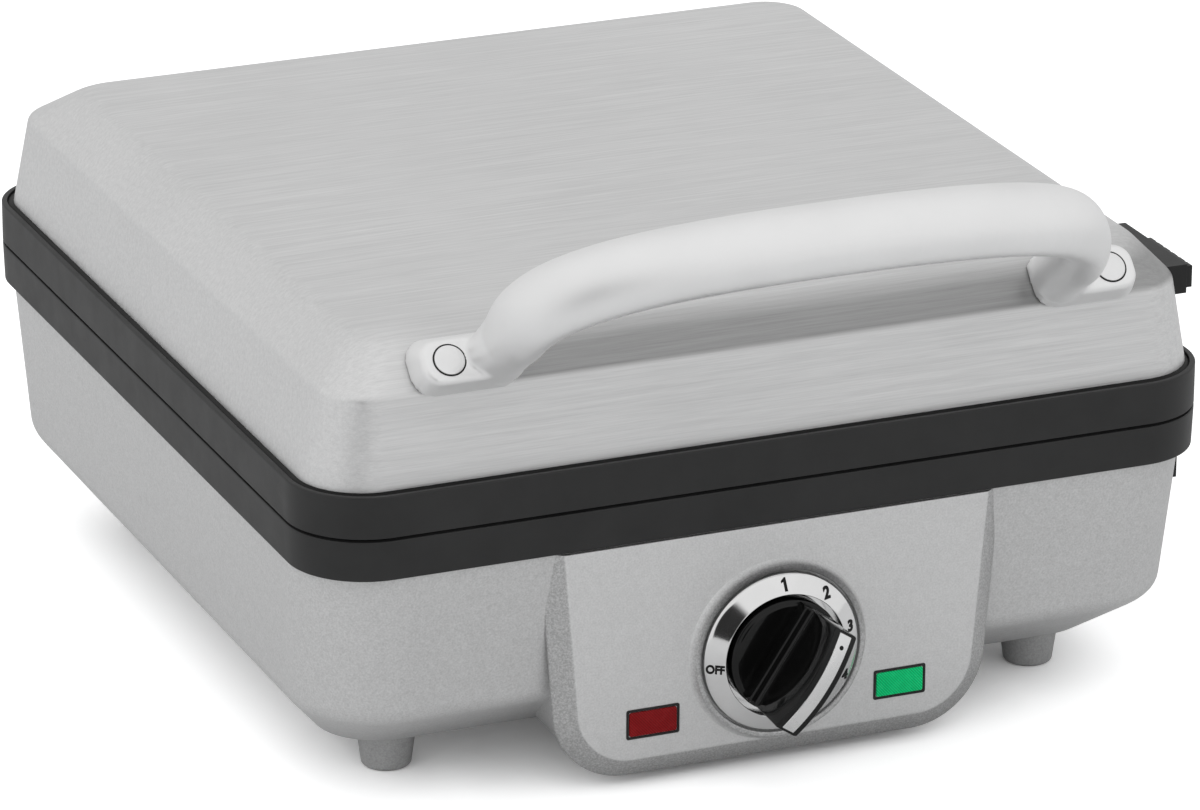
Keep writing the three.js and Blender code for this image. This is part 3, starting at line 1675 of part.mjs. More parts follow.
// Hinges behind the rings
const ringBackY = ringHalfDepth + fitGap;
const bracketBackY = ringBackY + bracketPlate;
function baseBackY(drop) {
  const share = (drop - lowerRingHeight) / (shoulderDrop - lowerRingHeight);
  return baseTopDepth + (shoulderDepth - baseTopDepth) * share + 2 * fitGap;
}
const bracketLedge = lowerRingHeight + bracketStep;
const bracketSide = [
  [ringBackY, -bracketLedge],
  [baseBackY(bracketLedge), -bracketLedge],
  [baseBackY(bracketBottomDrop), -bracketBottomDrop],
  [bracketBackY, -bracketBottomDrop],
  [bracketBackY + bracketBelly, -bracketBellyDrop],
  [hingeY + knuckleRadius, 0],
  [hingeY, -bracketTopDrop],
  [ringBackY, -bracketTopDrop],
];
const armSide = [
  [ringBackY, armBottomRise],
  [hingeY, armBottomRise],
  [hingeY + knuckleRadius, 0],
  [hingeY + armShoulder, armShoulder],
  [bracketBackY, armTopRise],
  [ringBackY, armTopRise],
];
const hingeLook = material(0x2f2f30, 0.5, 0.2);
const pinLook = material(0xb4b6b8, 0.3, 1);
const knuckle = rod(sideFrame, hingeY, 0, [
  [knuckleRadius, hingeX - bracketHalf],
  [knuckleRadius, hingeX + bracketHalf],
], smallSegments);
const pinHole = rod(sideFrame, hingeY, 0, [
  [pinHoleRadius, hingeX - bracketHalf - overCut],
  [pinHoleRadius, hingeX + bracketHalf + overCut],
], smallSegments);
const lidRoomHalf = lidKnuckleHalf + knuckleGap;
const lidRoom = block(
  sideFrame,
  bracketBackY - fitGap,
  hingeY + knuckleRadius + overCut,
  -bracketBottomDrop - overCut,
  knuckleRadius + overCut,
  hingeX - lidRoomHalf,
  hingeX + lidRoomHalf,
);
const bracket = cut(
  join(prism(sideFrame, bracketSide, hingeX - bracketHalf, hingeX + bracketHalf), knuckle),
  lidRoom,
  pinHole,
);
const lidKnuckle = rod(sideFrame, hingeY, 0, [
  [knuckleRadius, hingeX - lidKnuckleHalf],
  [knuckleRadius, hingeX + lidKnuckleHalf],
], smallSegments);
const lidArm = cut(
  join(prism(sideFrame, armSide, hingeX - lidKnuckleHalf, hingeX + lidKnuckleHalf), lidKnuckle),
  pinHole,
);
const hingePin = rod(sideFrame, hingeY, 0, [
  [pinRadius, hingeX - bracketHalf - pinOverhang],
  [pinRadius, hingeX + bracketHalf + pinOverhang],
], smallSegments);
addPart('hinge_bracket_right', bracket, hingeLook);
addPart('hinge_bracket_left', toLeft(bracket), hingeLook);
addPart('lid_hinge_right', lidArm, hingeLook);
addPart('lid_hinge_left', toLeft(lidArm), hingeLook);
addPart('hinge_pin_right', hingePin, pinLook);
addPart('hinge_pin_left', toLeft(hingePin), pinLook);

// Terminal block on the floor of the base
const blockLowW = -baseLowDrop + baseWall + fitGap;
const terminalBody = block(
  planFrame,
  blockX - blockHalfLength,
  blockX + blockHalfLength,
  blockY - blockHalfWidth,
  blockY + blockHalfWidth,
  blockLowW,
  blockLowW + blockHeight,
);
const notches = [-1, 0, 1].map((step) => block(
  planFrame,
  blockX + step * blockPitch - blockNotchHalf,
  blockX + step * blockPitch + blockNotchHalf,
  blockY - blockNotchHalf,
  blockY + blockHalfWidth + overCut,
  blockLowW + blockHeight - blockNotchDepth,
  blockLowW + blockHeight + overCut,
));
addPart('terminal_block', cut(terminalBody, ...notches), material(0xe8e3d6, 0.6, 0));

// Thermal fuse on the back of the upper tray
const fuseFrame = makeFrame(seamPoint, axisY, axisZ);
const fuseW = trayFloorDrop + fitGap + fuseRadius;
addPart('thermal_fuse', rod(fuseFrame, fuseY, fuseW, [
  [fuseNeckRadius, fuseX - fuseHalfLength - fuseNeckLength],
  [fuseNeckRadius, fuseX - fuseHalfLength],
  [fuseRadius, fuseX - fuseHalfLength],
  [fuseRadius, fuseX + fuseHalfLength],
  [fuseNeckRadius, fuseX + fuseHalfLength],
  [fuseNeckRadius, fuseX + fuseHalfLength + fuseNeckLength],
], screwSegments), material(0xc9c9c4, 0.4, 0.6));

// Gland in the back wall
const glandShare = (glandDrop - lowerRingHeight) / (shoulderDrop - lowerRingHeight);
const glandWallY = baseTopDepth + (shoulderDepth - baseTopDepth) * glandShare;
const glandFaceY = glandWallY + 2 * fitGap + glandFlangeRadius * slopeOfWall();
function slopeOfWall() {
  return (baseTopDepth - shoulderDepth) / (shoulderDrop - lowerRingHeight);
}
addPart('cord_gland', turnedRing(frontFrame, glandX, -glandDrop, [
  [glandBore, -glandFaceY - glandFlange],
  [glandFlangeRadius, -glandFaceY - glandFlange],
  [glandFlangeRadius, -glandFaceY],
  [glandRadius, -glandFaceY],
  [glandRadius, -glandFaceY + glandInside],
  [glandBore, -glandFaceY + glandInside],
], smallSegments), material(0x161616, 0.6, 0));

// The object stands on Z = 0 with its bounding box centred on the Z axis
const bounds = new THREE.Box3().setFromObject(group);
const centre = bounds.getCenter(new THREE.Vector3());
for (const mesh of group.children) {
  mesh.geometry.translate(-centre.x, -centre.y, -bounds.min.z);
}

export default group;
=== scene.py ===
import json
import math

import bmesh
import bpy
import numpy as np
from mathutils import Matrix, Vector

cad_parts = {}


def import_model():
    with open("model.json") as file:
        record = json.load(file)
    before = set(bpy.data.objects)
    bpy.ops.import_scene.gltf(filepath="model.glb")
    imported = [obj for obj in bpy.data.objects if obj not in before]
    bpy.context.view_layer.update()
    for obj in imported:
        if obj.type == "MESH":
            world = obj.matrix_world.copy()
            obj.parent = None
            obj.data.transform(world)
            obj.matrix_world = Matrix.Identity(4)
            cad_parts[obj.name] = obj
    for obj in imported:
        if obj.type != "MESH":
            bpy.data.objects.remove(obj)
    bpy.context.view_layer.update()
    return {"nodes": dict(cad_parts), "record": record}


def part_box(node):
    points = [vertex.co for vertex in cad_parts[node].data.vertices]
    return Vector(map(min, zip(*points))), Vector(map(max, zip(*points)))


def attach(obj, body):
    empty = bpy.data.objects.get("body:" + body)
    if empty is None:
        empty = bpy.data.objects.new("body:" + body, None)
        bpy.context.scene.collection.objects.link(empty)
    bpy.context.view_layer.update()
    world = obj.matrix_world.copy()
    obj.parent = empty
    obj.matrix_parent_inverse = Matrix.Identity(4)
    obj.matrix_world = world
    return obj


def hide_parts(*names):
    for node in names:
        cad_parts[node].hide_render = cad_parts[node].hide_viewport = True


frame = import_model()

MM = 0.001

# Main measures in mm. Z is counted from the split between the rings, Y from the ring centre.
RING_HALF_X, RING_HALF_Y, RING_CORNER = 165.0, 173.35, 27.6
FACE = 173.35  # front face of the panel, ahead of the ring centre
DIAL_Z = -60.05
DIAL = (0.0, -FACE, DIAL_Z)
LENS_X, LENS_Z = 45.4, -79.4
FOOT_X, FOOT_Y = 120.4, 119.8
SHARP = 35.0  # degrees between two faces from which their edge is drawn sharp
SEAM_Z = 103.6  # the split, above the floor
ring_low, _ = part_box("upper_ring")
OY = ring_low.y / MM + RING_HALF_Y  # the ring centre, in the frame of the part


# Camera
# The photo's camera, in mm about the ring centre at the split.
F_PX, AZ, EL = 6992.8, math.radians(-22.10), math.radians(20.83)
PAN_X, PAN_Y, DISTANCE = -24.5, -32.35, 2475.12
CENTRE_X, CENTRE_Y = 510.25, 407.14
IMAGE_W, IMAGE_H = 1200.0, 810.0


def make_camera():
    back = Vector((math.sin(AZ) * math.cos(EL), -math.cos(AZ) * math.cos(EL), math.sin(EL)))
    right = (-back).cross(Vector((0, 0, 1))).normalized()
    up = right.cross(-back)
    place = back * DISTANCE + right * PAN_X + up * PAN_Y + Vector((0, OY, SEAM_Z))
    data = bpy.data.cameras.new("photo_camera")
    data.sensor_fit = "HORIZONTAL"
    data.sensor_width = 36.0
    data.lens = F_PX / IMAGE_W * data.sensor_width
    data.shift_x = (IMAGE_W / 2 - CENTRE_X) / IMAGE_W
    data.shift_y = (CENTRE_Y - IMAGE_H / 2) / IMAGE_W
    data.clip_start, data.clip_end = 0.05, 60.0
    camera = bpy.data.objects.new("photo_camera", data)
    turn = Matrix((right, up, back)).transposed().to_4x4()
    camera.matrix_world = Matrix.Translation(place * MM) @ turn
    bpy.context.scene.collection.objects.link(camera)
    bpy.context.scene.camera = camera


make_camera()


# Node groups
MIX_DARK, MIX_LIGHT, MIX_RESULT = 6, 7, 2  # colour sockets of the Mix node


def finish_group(name):
    """An empty group whose outputs are a tone, a roughness and a normal."""
    tree = bpy.data.node_groups.new(name, "ShaderNodeTree")
    for label, kind in (("Tone", "Float"), ("Rough", "Float"), ("Normal", "Vector")):
        tree.interface.new_socket(label, in_out="OUTPUT", socket_type="NodeSocket" + kind)
    return tree, tree.nodes.new("NodeGroupOutput")


def noise(tree, scale, detail=4.0, rough=0.6, stretch=(1, 1, 1)):
    """3-D noise on object coordinates, stretched by a scale per axis."""
    coordinates = tree.nodes.new("ShaderNodeTexCoord")
    mapping = tree.nodes.new("ShaderNodeMapping")
    mapping.inputs["Scale"].default_value = stretch
    texture = tree.nodes.new("ShaderNodeTexNoise")
    texture.inputs["Scale"].default_value = scale
    texture.inputs["Detail"].default_value = detail
    texture.inputs["Roughness"].default_value = rough
    tree.links.new(coordinates.outputs["Object"], mapping.inputs["Vector"])
    tree.links.new(mapping.outputs["Vector"], texture.inputs["Vector"])
    return texture


def ranged(tree, source, low, high, from_low=0.3, from_high=0.7):
    """Spreads the values between from_low and from_high over low to high, and holds beyond."""
    node = tree.nodes.new("ShaderNodeMapRange")
    node.inputs["From Min"].default_value = from_low
    node.inputs["From Max"].default_value = from_high
    node.inputs["To Min"].default_value = low
    node.inputs["To Max"].default_value = high
    tree.links.new(source, node.inputs["Value"])
    return node.outputs["Result"]


def mixed(tree, mask, dark, light):
    """The dark colour where the mask is 0, the light one where it is 1."""
    node = tree.nodes.new("ShaderNodeMix")
    node.data_type = "RGBA"
    for socket, value in ((node.inputs[MIX_DARK], dark), (node.inputs[MIX_LIGHT], light)):
        if isinstance(value, tuple):
            socket.default_value = (*value, 1.0)
        else:
            tree.links.new(value, socket)
    tree.links.new(mask, node.inputs[0])
    return node.outputs[MIX_RESULT]


def bumped(tree, height, strength, distance):
    node = tree.nodes.new("ShaderNodeBump")
    node.inputs["Strength"].default_value = strength
    node.inputs["Distance"].default_value = distance
    tree.links.new(height, node.inputs["Height"])
    return node.outputs["Normal"]


def summed(tree, a, b, weight):
    """a plus b times its weight."""
    node = tree.nodes.new("ShaderNodeMath")
    node.operation = "MULTIPLY_ADD"
    node.inputs[1].default_value = weight
    tree.links.new(b, node.inputs[0])
    tree.links.new(a, node.inputs[2])
    return node.outputs[0]


def combined(tree, operation, a, b):
    """One Math node on two links."""
    node = tree.nodes.new("ShaderNodeMath")
    node.operation = operation
    tree.links.new(a, node.inputs[0])
    tree.links.new(b, node.inputs[1])
    return node.outputs[0]


def object_xyz(tree):
    """X, Y and Z of a point of the object, in metres in the frame of the part."""
    coordinates = tree.nodes.new("ShaderNodeTexCoord")
    apart = tree.nodes.new("ShaderNodeSeparateXYZ")
    tree.links.new(coordinates.outputs["Object"], apart.inputs[0])
    return apart.outputs


def material(name, build):
    """A material with one Principled shader, whose inputs the function build fills."""
    mat = bpy.data.materials.new(name)
    mat.use_nodes = True
    tree = mat.node_tree
    tree.nodes.clear()
    shader = tree.nodes.new("ShaderNodeBsdfPrincipled")
    output = tree.nodes.new("ShaderNodeOutputMaterial")
    tree.links.new(shader.outputs["BSDF"], output.inputs["Surface"])
    build(tree, shader)
    return mat


def plain(name, dark, light, rough, metallic=0.0, scale=60.0, bump=0.15, bump_scale=900.0, **extra):
    """Fine mottled finish: colour and roughness vary by noise, and a fine bump."""
    def build(tree, shader):
        cloud = noise(tree, scale)
        grain = noise(tree, bump_scale, detail=3.0)
        tree.links.new(
            mixed(tree, ranged(tree, cloud.outputs["Fac"], 0, 1), dark, light),
            shader.inputs["Base Color"],
        )
        tree.links.new(
            ranged(tree, cloud.outputs["Fac"], rough[0], rough[1]), shader.inputs["Roughness"],
        )
        tree.links.new(
            bumped(tree, grain.outputs["Fac"], bump, 0.00012), shader.inputs["Normal"],
        )
        shader.inputs["Metallic"].default_value = metallic
        for socket, value in extra.items():
            shader.inputs[socket.replace("_", " ")].default_value = value
    return material(name, build)


def brushed_group():
    """Grain that runs along X: long streaks, finer hairs and slow clouds."""
    tree, outlet = finish_group("brushed_grain")
    streak = noise(tree, 1.0, detail=5.0, rough=0.7, stretch=(14, 700, 700))
    hair = noise(tree, 1.0, detail=3.0, rough=0.6, stretch=(60, 2600, 2600))
    cloud = noise(tree, 9.0, detail=2.0)
    both = summed(tree, streak.outputs["Fac"], hair.outputs["Fac"], 0.6)
    tone = summed(tree, both, cloud.outputs["Fac"], 0.25)
    tree.links.new(ranged(tree, tone, 0, 1, 0.6, 1.25), outlet.inputs["Tone"])
    tree.links.new(ranged(tree, both, 0.38, 0.54, 0.5, 1.1), outlet.inputs["Rough"])
    tree.links.new(bumped(tree, both, 0.7, 0.00006), outlet.inputs["Normal"])
    return tree


def speckle_group():
    """Metallic paint: tiny bright and dark flakes over a slow mottle."""
    tree, outlet = finish_group("paint_flakes")
    flake = noise(tree, 1500.0, detail=2.0, rough=0.5)
    coarse = noise(tree, 420.0, detail=2.0)
    cloud = noise(tree, 14.0, detail=2.0)
    both = summed(tree, flake.outputs["Fac"], coarse.outputs["Fac"], 0.35)
    tone = summed(tree, both, cloud.outputs["Fac"], 0.15)
    tree.links.new(ranged(tree, tone, 0, 1, 0.5, 1.0), outlet.inputs["Tone"])
    tree.links.new(ranged(tree, cloud.outputs["Fac"], 0.36, 0.46), outlet.inputs["Rough"])
    tree.links.new(bumped(tree, both, 0.25, 0.00005), outlet.inputs["Normal"])
    return tree


BRUSHED = brushed_group()
SPECKLE = speckle_group()


def grained(tree, shader, group):
    """Feeds a group's roughness and normal to the shader, and gives its tone."""
    node = tree.nodes.new("ShaderNodeGroup")
    node.node_tree = group
    tree.links.new(node.outputs["Rough"], shader.inputs["Roughness"])
    tree.links.new(node.outputs["Normal"], shader.inputs["Normal"])
    return node.outputs["Tone"]


def grouped(name, group, dark, light, metallic):
    """Finish whose colour, roughness and bump come from a shared group."""
    def build(tree, shader):
        tone = grained(tree, shader, group)
        tree.links.new(mixed(tree, tone, dark, light), shader.inputs["Base Color"])
        shader.inputs["Metallic"].default_value = metallic
    return material(name, build)


def grey(v):
    return (v, v, v)


def lens(name, dark, light):
    """Moulded lens: fine ribs that run diagonally across it lighten its colour."""
    def build(tree, shader):
        coordinates = tree.nodes.new("ShaderNodeTexCoord")
        turn = tree.nodes.new("ShaderNodeMapping")
        turn.inputs["Rotation"].default_value = (0, math.radians(42), 0)
        ribs = tree.nodes.new("ShaderNodeTexWave")
        ribs.bands_direction = "X"
        ribs.inputs["Scale"].default_value = 430.0
        ribs.inputs["Distortion"].default_value = 0.6
        ribs.inputs["Detail"].default_value = 1.0
        tree.links.new(coordinates.outputs["Object"], turn.inputs["Vector"])
        tree.links.new(turn.outputs["Vector"], ribs.inputs["Vector"])
        cloud = noise(tree, 260.0)
        tone = summed(tree, ribs.outputs["Fac"], cloud.outputs["Fac"], 0.7)
        tree.links.new(mixed(tree, ranged(tree, tone, 0, 1, 0.35, 1.35), dark, light),
                       shader.inputs["Base Color"])
        tree.links.new(ranged(tree, cloud.outputs["Fac"], 0.20, 0.32), shader.inputs["Roughness"])
        tree.links.new(bumped(tree, ribs.outputs["Fac"], 0.25, 0.0001), shader.inputs["Normal"])
        shader.inputs["Specular IOR Level"].default_value = 0.12
    return material(name, build)


def panel_paint():
    """Fine paint on the flat of the panel, with darker and coarser flakes on its chamfer and on the
    boss; on the boss the coarse grey also carries painted shade, darker towards its top below the
    dark ring.
    """
    def build(tree, shader):
        tone = grained(tree, shader, SPECKLE)
        place = object_xyz(tree)
        chamfer = ranged(tree, place["Y"], 0, 1, (OY - 173.2) * MM, (OY - 172.8) * MM)
        boss = ranged(tree, place["Y"], 1, 0, (OY - 176.2) * MM, (OY - 173.7) * MM)
        either = combined(tree, "MAXIMUM", chamfer, boss)
        sparkle = noise(tree, 1500.0, detail=2.0)
        coarse = mixed(tree, ranged(tree, sparkle.outputs["Fac"], 0, 1, 0.36, 0.66),
                       grey(0.42), grey(0.62))
        fine = mixed(tree, tone, grey(0.54), grey(0.66))
        # Painted shade: the coarse grey of the boss darkens towards its top, below the dark ring.
        middle, top = (SEAM_Z + DIAL_Z) * MM, (SEAM_Z + DIAL_Z + 26) * MM
        boss_painted_shade = tree.nodes.new("ShaderNodeVectorMath")
        boss_painted_shade.operation = "SCALE"
        tree.links.new(coarse, boss_painted_shade.inputs[0])
        tree.links.new(ranged(tree, place["Z"], 1.0, 0.35, middle, top), boss_painted_shade.inputs["Scale"])
        coarse = mixed(tree, boss, coarse, boss_painted_shade.outputs["Vector"])
        tree.links.new(mixed(tree, either, fine, coarse), shader.inputs["Base Color"])
        tree.links.new(ranged(tree, either, 0.4, 0.85, 0, 1), shader.inputs["Metallic"])
    return material("panel_paint", build)


def lid_steel():
    """Brushed steel with painted shade: its colour is darker on the front slope of the lid, where
    the handle keeps light away.
    """
    def build(tree, shader):
        tone = grained(tree, shader, BRUSHED)
        place = object_xyz(tree)
        above_wall = ranged(tree, place["Z"], 0, 1, (SEAM_Z + 45.5) * MM, (SEAM_Z + 47.5) * MM)
        below_top = ranged(tree, place["Z"], 1, 0, (SEAM_Z + 54) * MM, (SEAM_Z + 62.5) * MM)
        in_front = ranged(tree, place["Y"], 1, 0, (OY - 142) * MM, (OY - 132) * MM)
        off_corner = ranged(tree, place["X"], 0, 1, -130 * MM, -108 * MM)
        # Painted shade mask: the front slope between the wall and the top, towards the front and off
        # the left corner.
        shade = above_wall
        for mask in (below_top, in_front, off_corner):
            shade = combined(tree, "MULTIPLY", shade, mask)
        # The lit grey of the steel, and the darker grey of its painted shade.
        lit = mixed(tree, tone, grey(0.64), grey(0.84))
        dull = mixed(tree, tone, grey(0.31), grey(0.45))
        tree.links.new(mixed(tree, shade, lit, dull), shader.inputs["Base Color"])
        shader.inputs["Metallic"].default_value = 0.92
    return material("brushed_steel_lid", build)


# Finishes: dark and light colour, then least and most roughness, then metallic.
MATS = {
    "brushed_steel_lid": lid_steel(),
    "dark_ring": plain("dark_ring", grey(0.014), grey(0.019), (0.40, 0.50),
                       Specular_IOR_Level=0.35),
    "silver_paint": grouped("silver_paint", SPECKLE, grey(0.46), grey(0.60), 0.4),
    "panel_paint": panel_paint(),
    "dial_chrome": plain("dial_chrome", grey(0.80), grey(0.86), (0.08, 0.12), 1.0, bump=0.02),
    "gloss_black": plain("gloss_black", grey(0.003), grey(0.005), (0.05, 0.09), bump=0.01,
                         Specular_IOR_Level=0.3),
    "inlay_silver": plain("inlay_silver", grey(0.74), grey(0.82), (0.24, 0.30), 0.9, bump=0.03),
    "shaft_steel": plain("shaft_steel", grey(0.45), grey(0.52), (0.3, 0.4), 1.0),
    "beige_plastic": plain("beige_plastic", (0.66, 0.6, 0.5), (0.72, 0.66, 0.56), (0.5, 0.6)),
    "black_plastic": plain("black_plastic", grey(0.007), grey(0.011), (0.38, 0.48),
                           Specular_IOR_Level=0.35),
    "red_lens": lens("red_lens", (0.13, 0.002, 0.003), (0.24, 0.008, 0.010)),
    "green_lens": lens("green_lens", (0.0, 0.36, 0.10), (0.004, 0.62, 0.22)),
    "lamp_glass": plain("lamp_glass", (0.8, 0.78, 0.7), (0.85, 0.82, 0.76), (0.2, 0.3)),
    "foot_plastic": grouped("foot_plastic", SPECKLE, grey(0.30), grey(0.42), 0.3),
    "cover_sheet": plain("cover_sheet", grey(0.30), grey(0.36), (0.4, 0.5), 0.8),
    "screw_steel": plain("screw_steel", grey(0.26), grey(0.32), (0.3, 0.4), 1.0),
    "plate_coating": plain("plate_coating", grey(0.018), grey(0.026), (0.38, 0.5), 0.15, bump=0.3),
    "tray_sheet": plain("tray_sheet", grey(0.4), grey(0.48), (0.35, 0.45), 0.9),
    "heater_sheath": plain("heater_sheath", (0.13, 0.12, 0.11), (0.2, 0.18, 0.17), (0.5, 0.6), 0.8),
    "spring_steel": plain("spring_steel", grey(0.45), grey(0.52), (0.28, 0.36), 1.0),
    "cast_handle": plain("cast_handle", grey(0.90), grey(0.94), (0.46, 0.52), 1.0, scale=30,
                         bump=0.10, bump_scale=1400.0),
    "cap_silver": plain("cap_silver", grey(0.84), grey(0.89), (0.30, 0.36), 0.95, bump=0.05),
    "hinge_black": plain("hinge_black", grey(0.020), grey(0.027), (0.45, 0.55)),
    "fuse_case": plain("fuse_case", grey(0.55), grey(0.62), (0.4, 0.5)),
    "print_black": plain("print_black", grey(0.004), grey(0.007), (0.45, 0.55),
                         Specular_IOR_Level=0.2),
}
SLOT = {p["node"]: p["material_slot"] for p in frame["record"]["subparts"]}
BODY = {n: b for b, ns in frame["record"]["behaviour"]["bodies"].items() for n in ns}
for name, node in frame["nodes"].items():
    node.data.materials.clear()
    node.data.materials.append(MATS[SLOT[name]])


# Meshes
def to_part(points):
    """mm about the ring centre at the split, to metres in the frame of the part."""
    return (np.asarray(points, float) + np.array([0.0, OY, SEAM_Z])) * MM


def make_object(name, co, faces, slot_name, body, replaces=(), sharp=SHARP):
    """A smooth-shaded piece on a body, in place of the CAD nodes that it replaces."""
    mesh = bpy.data.meshes.new(name)
    mesh.from_pydata([tuple(p) for p in co], [], faces)
    mesh.polygons.foreach_set("use_smooth", np.full(len(mesh.polygons), True))
    mesh.set_sharp_from_angle(angle=math.radians(sharp))
    mesh.materials.append(MATS[slot_name])
    mesh.update()
    obj = bpy.data.objects.new(name, mesh)
    bpy.context.scene.collection.objects.link(obj)
    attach(obj, body)
    if replaces:
        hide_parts(*replaces)
    return obj


def skin_faces(rows, count, loop=False, first=0):
    """Quads between neighbouring rings; loop joins the last ring to the first."""
    i = np.arange(rows if loop else rows - 1)[:, None]
    j = np.arange(count)[None, :]
    k = (j + 1) % count
    a, b = first + i * count, first + ((i + 1) % rows) * count
    quads = np.stack([a + j, a + k, b + k, b + j], -1).reshape(-1, 4)
    return quads.tolist()


def skin(rings, loop=False, start=None, end=None, first=0):
    """Rings (rows, points, 3) as one surface. start and end are pole points that close it."""
    rings = np.asarray(rings, float)
    rows, count = rings.shape[:2]
    co = rings.reshape(-1, 3)
    faces = skin_faces(rows, count, loop, first)
    j = np.arange(count)
    k = (j + 1) % count
    if start is not None:
        co = np.vstack([co, start])
        pole = first + len(co) - 1
        faces += np.stack([np.full(count, pole), first + k, first + j], -1).tolist()
    if end is not None:
        co = np.vstack([co, end])
        pole = first + len(co) - 1
        last = first + (rows - 1) * count
        faces += np.stack([np.full(count, pole), last + j, last + k], -1).tolist()
    return co, faces


def rounded_rect(half, front, back, corner, arc=18, hold=1.2):
    """Rectangle with quarter-circle corners, and a point held on each side of every corner."""
    points = []
    middles = [(half - corner, -front + corner, -90), (half - corner, back - corner, 0),
               (-half + corner, back - corner, 90), (-half + corner, -front + corner, 180)]
    for cx, cy, turn in middles:
        a = np.radians(turn + np.linspace(0, 90, arc + 1))
        bow = np.stack([cx + corner * np.cos(a), cy + corner * np.sin(a)], -1)
        before = bow[0] + hold * np.array([math.sin(a[0]), -math.cos(a[0])])
        after = bow[-1] + hold * np.array([-math.sin(a[-1]), math.cos(a[-1])])
        points.append(np.vstack([before, bow, after]))
    return np.vstack(points)


def blended(levels, steps=6, hold=0.6):
    """levels (half, front, back, corner, z, blend): each blended level turns into a short
    parabola between points `blend` away on both sides, with a held level beyond each end."""
    out = []
    for i, item in enumerate(levels):
        v, blend = np.array(item[:5], float), item[5]
        if not blend:
            out.append(v)
            continue
        p, n = np.array(levels[i - 1][:5], float), np.array(levels[i + 1][:5], float)
        lp, ln = math.hypot(p[0] - v[0], p[4] - v[4]), math.hypot(n[0] - v[0], n[4] - v[4])
        before, after = v + (p - v) * blend / lp, v + (n - v) * blend / ln
        out.append(v + (p - v) * (blend + hold) / lp)
        for s in np.linspace(0, 1, steps + 1):
            out.append((before * (1 - s) + v * s) * (1 - s) + (v * (1 - s) + after * s) * s)
        out.append(v + (n - v) * (blend + hold) / ln)
    return out


def plan_rings(levels):
    """Rounded rectangles (half, front, back, corner), each at its own height z."""
    rings = []
    for half, front, back, corner, z in levels:
        flat = rounded_rect(half, front, back, corner)
        rings.append(np.column_stack([flat, np.full(len(flat), z)]))
    return np.array(rings)


def opened(obj, low, high):
    """Cuts a box, given by two corners in mm about the ring centre, out of a closed piece."""
    low, high = to_part(low), to_part(high)
    corners = [(x, y, z) for x in (low[0], high[0]) for y in (low[1], high[1])
               for z in (low[2], high[2])]
    mesh = bpy.data.meshes.new("cutter")
    mesh.from_pydata(corners, [], [(0, 1, 3, 2), (4, 6, 7, 5), (0, 4, 5, 1), (2, 3, 7, 6),
                                   (0, 2, 6, 4), (1, 5, 7, 3)])
    cutter = bpy.data.objects.new("cutter", mesh)
    bpy.context.scene.collection.objects.link(cutter)
    cut = obj.modifiers.new("opening", "BOOLEAN")
    cut.operation, cut.solver, cut.object = "DIFFERENCE", "EXACT", cutter
    baked(obj)
    bpy.data.objects.remove(cutter)
    obj.data.set_sharp_from_angle(angle=math.radians(SHARP))


def baked(obj):
    """Puts the result of a piece's modifiers into its mesh and shades it smooth."""
    bpy.context.view_layer.update()
    done = bpy.data.meshes.new_from_object(obj.evaluated_get(
        bpy.context.evaluated_depsgraph_get()))
    obj.modifiers.clear()
    obj.data = done
    done.polygons.foreach_set("use_smooth", np.full(len(done.polygons), True))


def lathe(profile, centre, axis, count=96):
    """Profile (radius, rise) turned about an axis through centre; rise runs along the axis."""
    w = np.array(axis, float) / np.linalg.norm(axis)
    u = np.cross([0, 0, 1.0], w) if abs(w[2]) < 0.9 else np.array([1.0, 0, 0])
    u /= np.linalg.norm(u)
    v = np.cross(w, u)
    a = np.linspace(0, 2 * math.pi, count, endpoint=False)
    around = np.outer(np.cos(a), u) + np.outer(np.sin(a), v)
    return np.array([np.array(centre) + r * around + h * w for r, h in profile])


# Lid cover
LID_SHEET = 1.2
LID_TOP = 61.6
LID = [
    (161.5, 169.3, 167.0, 23.0, 4.5, 0), (161.5, 169.3, 167.0, 23.0, 14.0, 3.0),
    (154.8, 166.4, 163.0, 18.0, 46.7, 1.6), (141.2, 152.4, 138.0, 14.0, LID_TOP, 5.0),
]
CROWNING = ((0.85, 0.18), (0.55, 0.55), (0.2, 0.78))  # share of the top's size, and its rise


def lid_cover():
    """Pressed cover: outer skin up to a slightly crowned top, rolled lip, inner skin, and the
    window that the upper release fills."""
    crown = [tuple(v * s for v in LID[3][:4]) + (LID_TOP + h, 0) for s, h in CROWNING]
    levels = blended(LID + [crown[0]]) + [np.array(c[:5]) for c in crown[1:]]
    inner = [v - LID_SHEET for v in levels]
    inner[0][4], inner[1][4] = 4.5, 8.0
    rings = np.concatenate([plan_rings(inner)[::-1], plan_rings(levels)])
    co, faces = skin(rings, start=[[0, 7, 61.2]], end=[[0, -7, 62.4]])
    obj = make_object("lid_skin", to_part(co), faces, "brushed_steel_lid", "lid", ["lid_cover"])
    opened(obj, (146, -151.5, 37.0), (168, -104.2, 48.0))


lid_cover()


# Rings
SEAM_HALF = 0.42  # half the open seam between the two rings
RING_OPENING = (144.5, 149.5, 149.5, 11.5)


def ring_level(inset, z):
    """The outline of the rings drawn in by an inset, at height z."""
    return (RING_HALF_X - inset, RING_HALF_Y - inset, RING_HALF_Y - inset,
            RING_CORNER - inset, z)


def rounded_profile(points, radius, steps=4, hold=0.35):
    """Corners of a profile [inset, z] cut back and rounded; points given radius 0 stay sharp."""
    out = []
    n = len(points)
    for i, ((a, b), r) in enumerate(zip(points, radius)):
        v = np.array([a, b], float)
        if not r:
            out.append(v)
            continue
        p, q = np.array(points[i - 1], float), np.array(points[(i + 1) % n], float)
        up, uq = (p - v) / np.linalg.norm(p - v), (q - v) / np.linalg.norm(q - v)
        out.append(v + up * (r + hold))
        for s in np.linspace(0, 1, steps + 1):
            one, two = v + up * r * (1 - s), v + uq * r * s
            out.append(one * (1 - s) + two * s)
        out.append(v + uq * (r + hold))
    return out


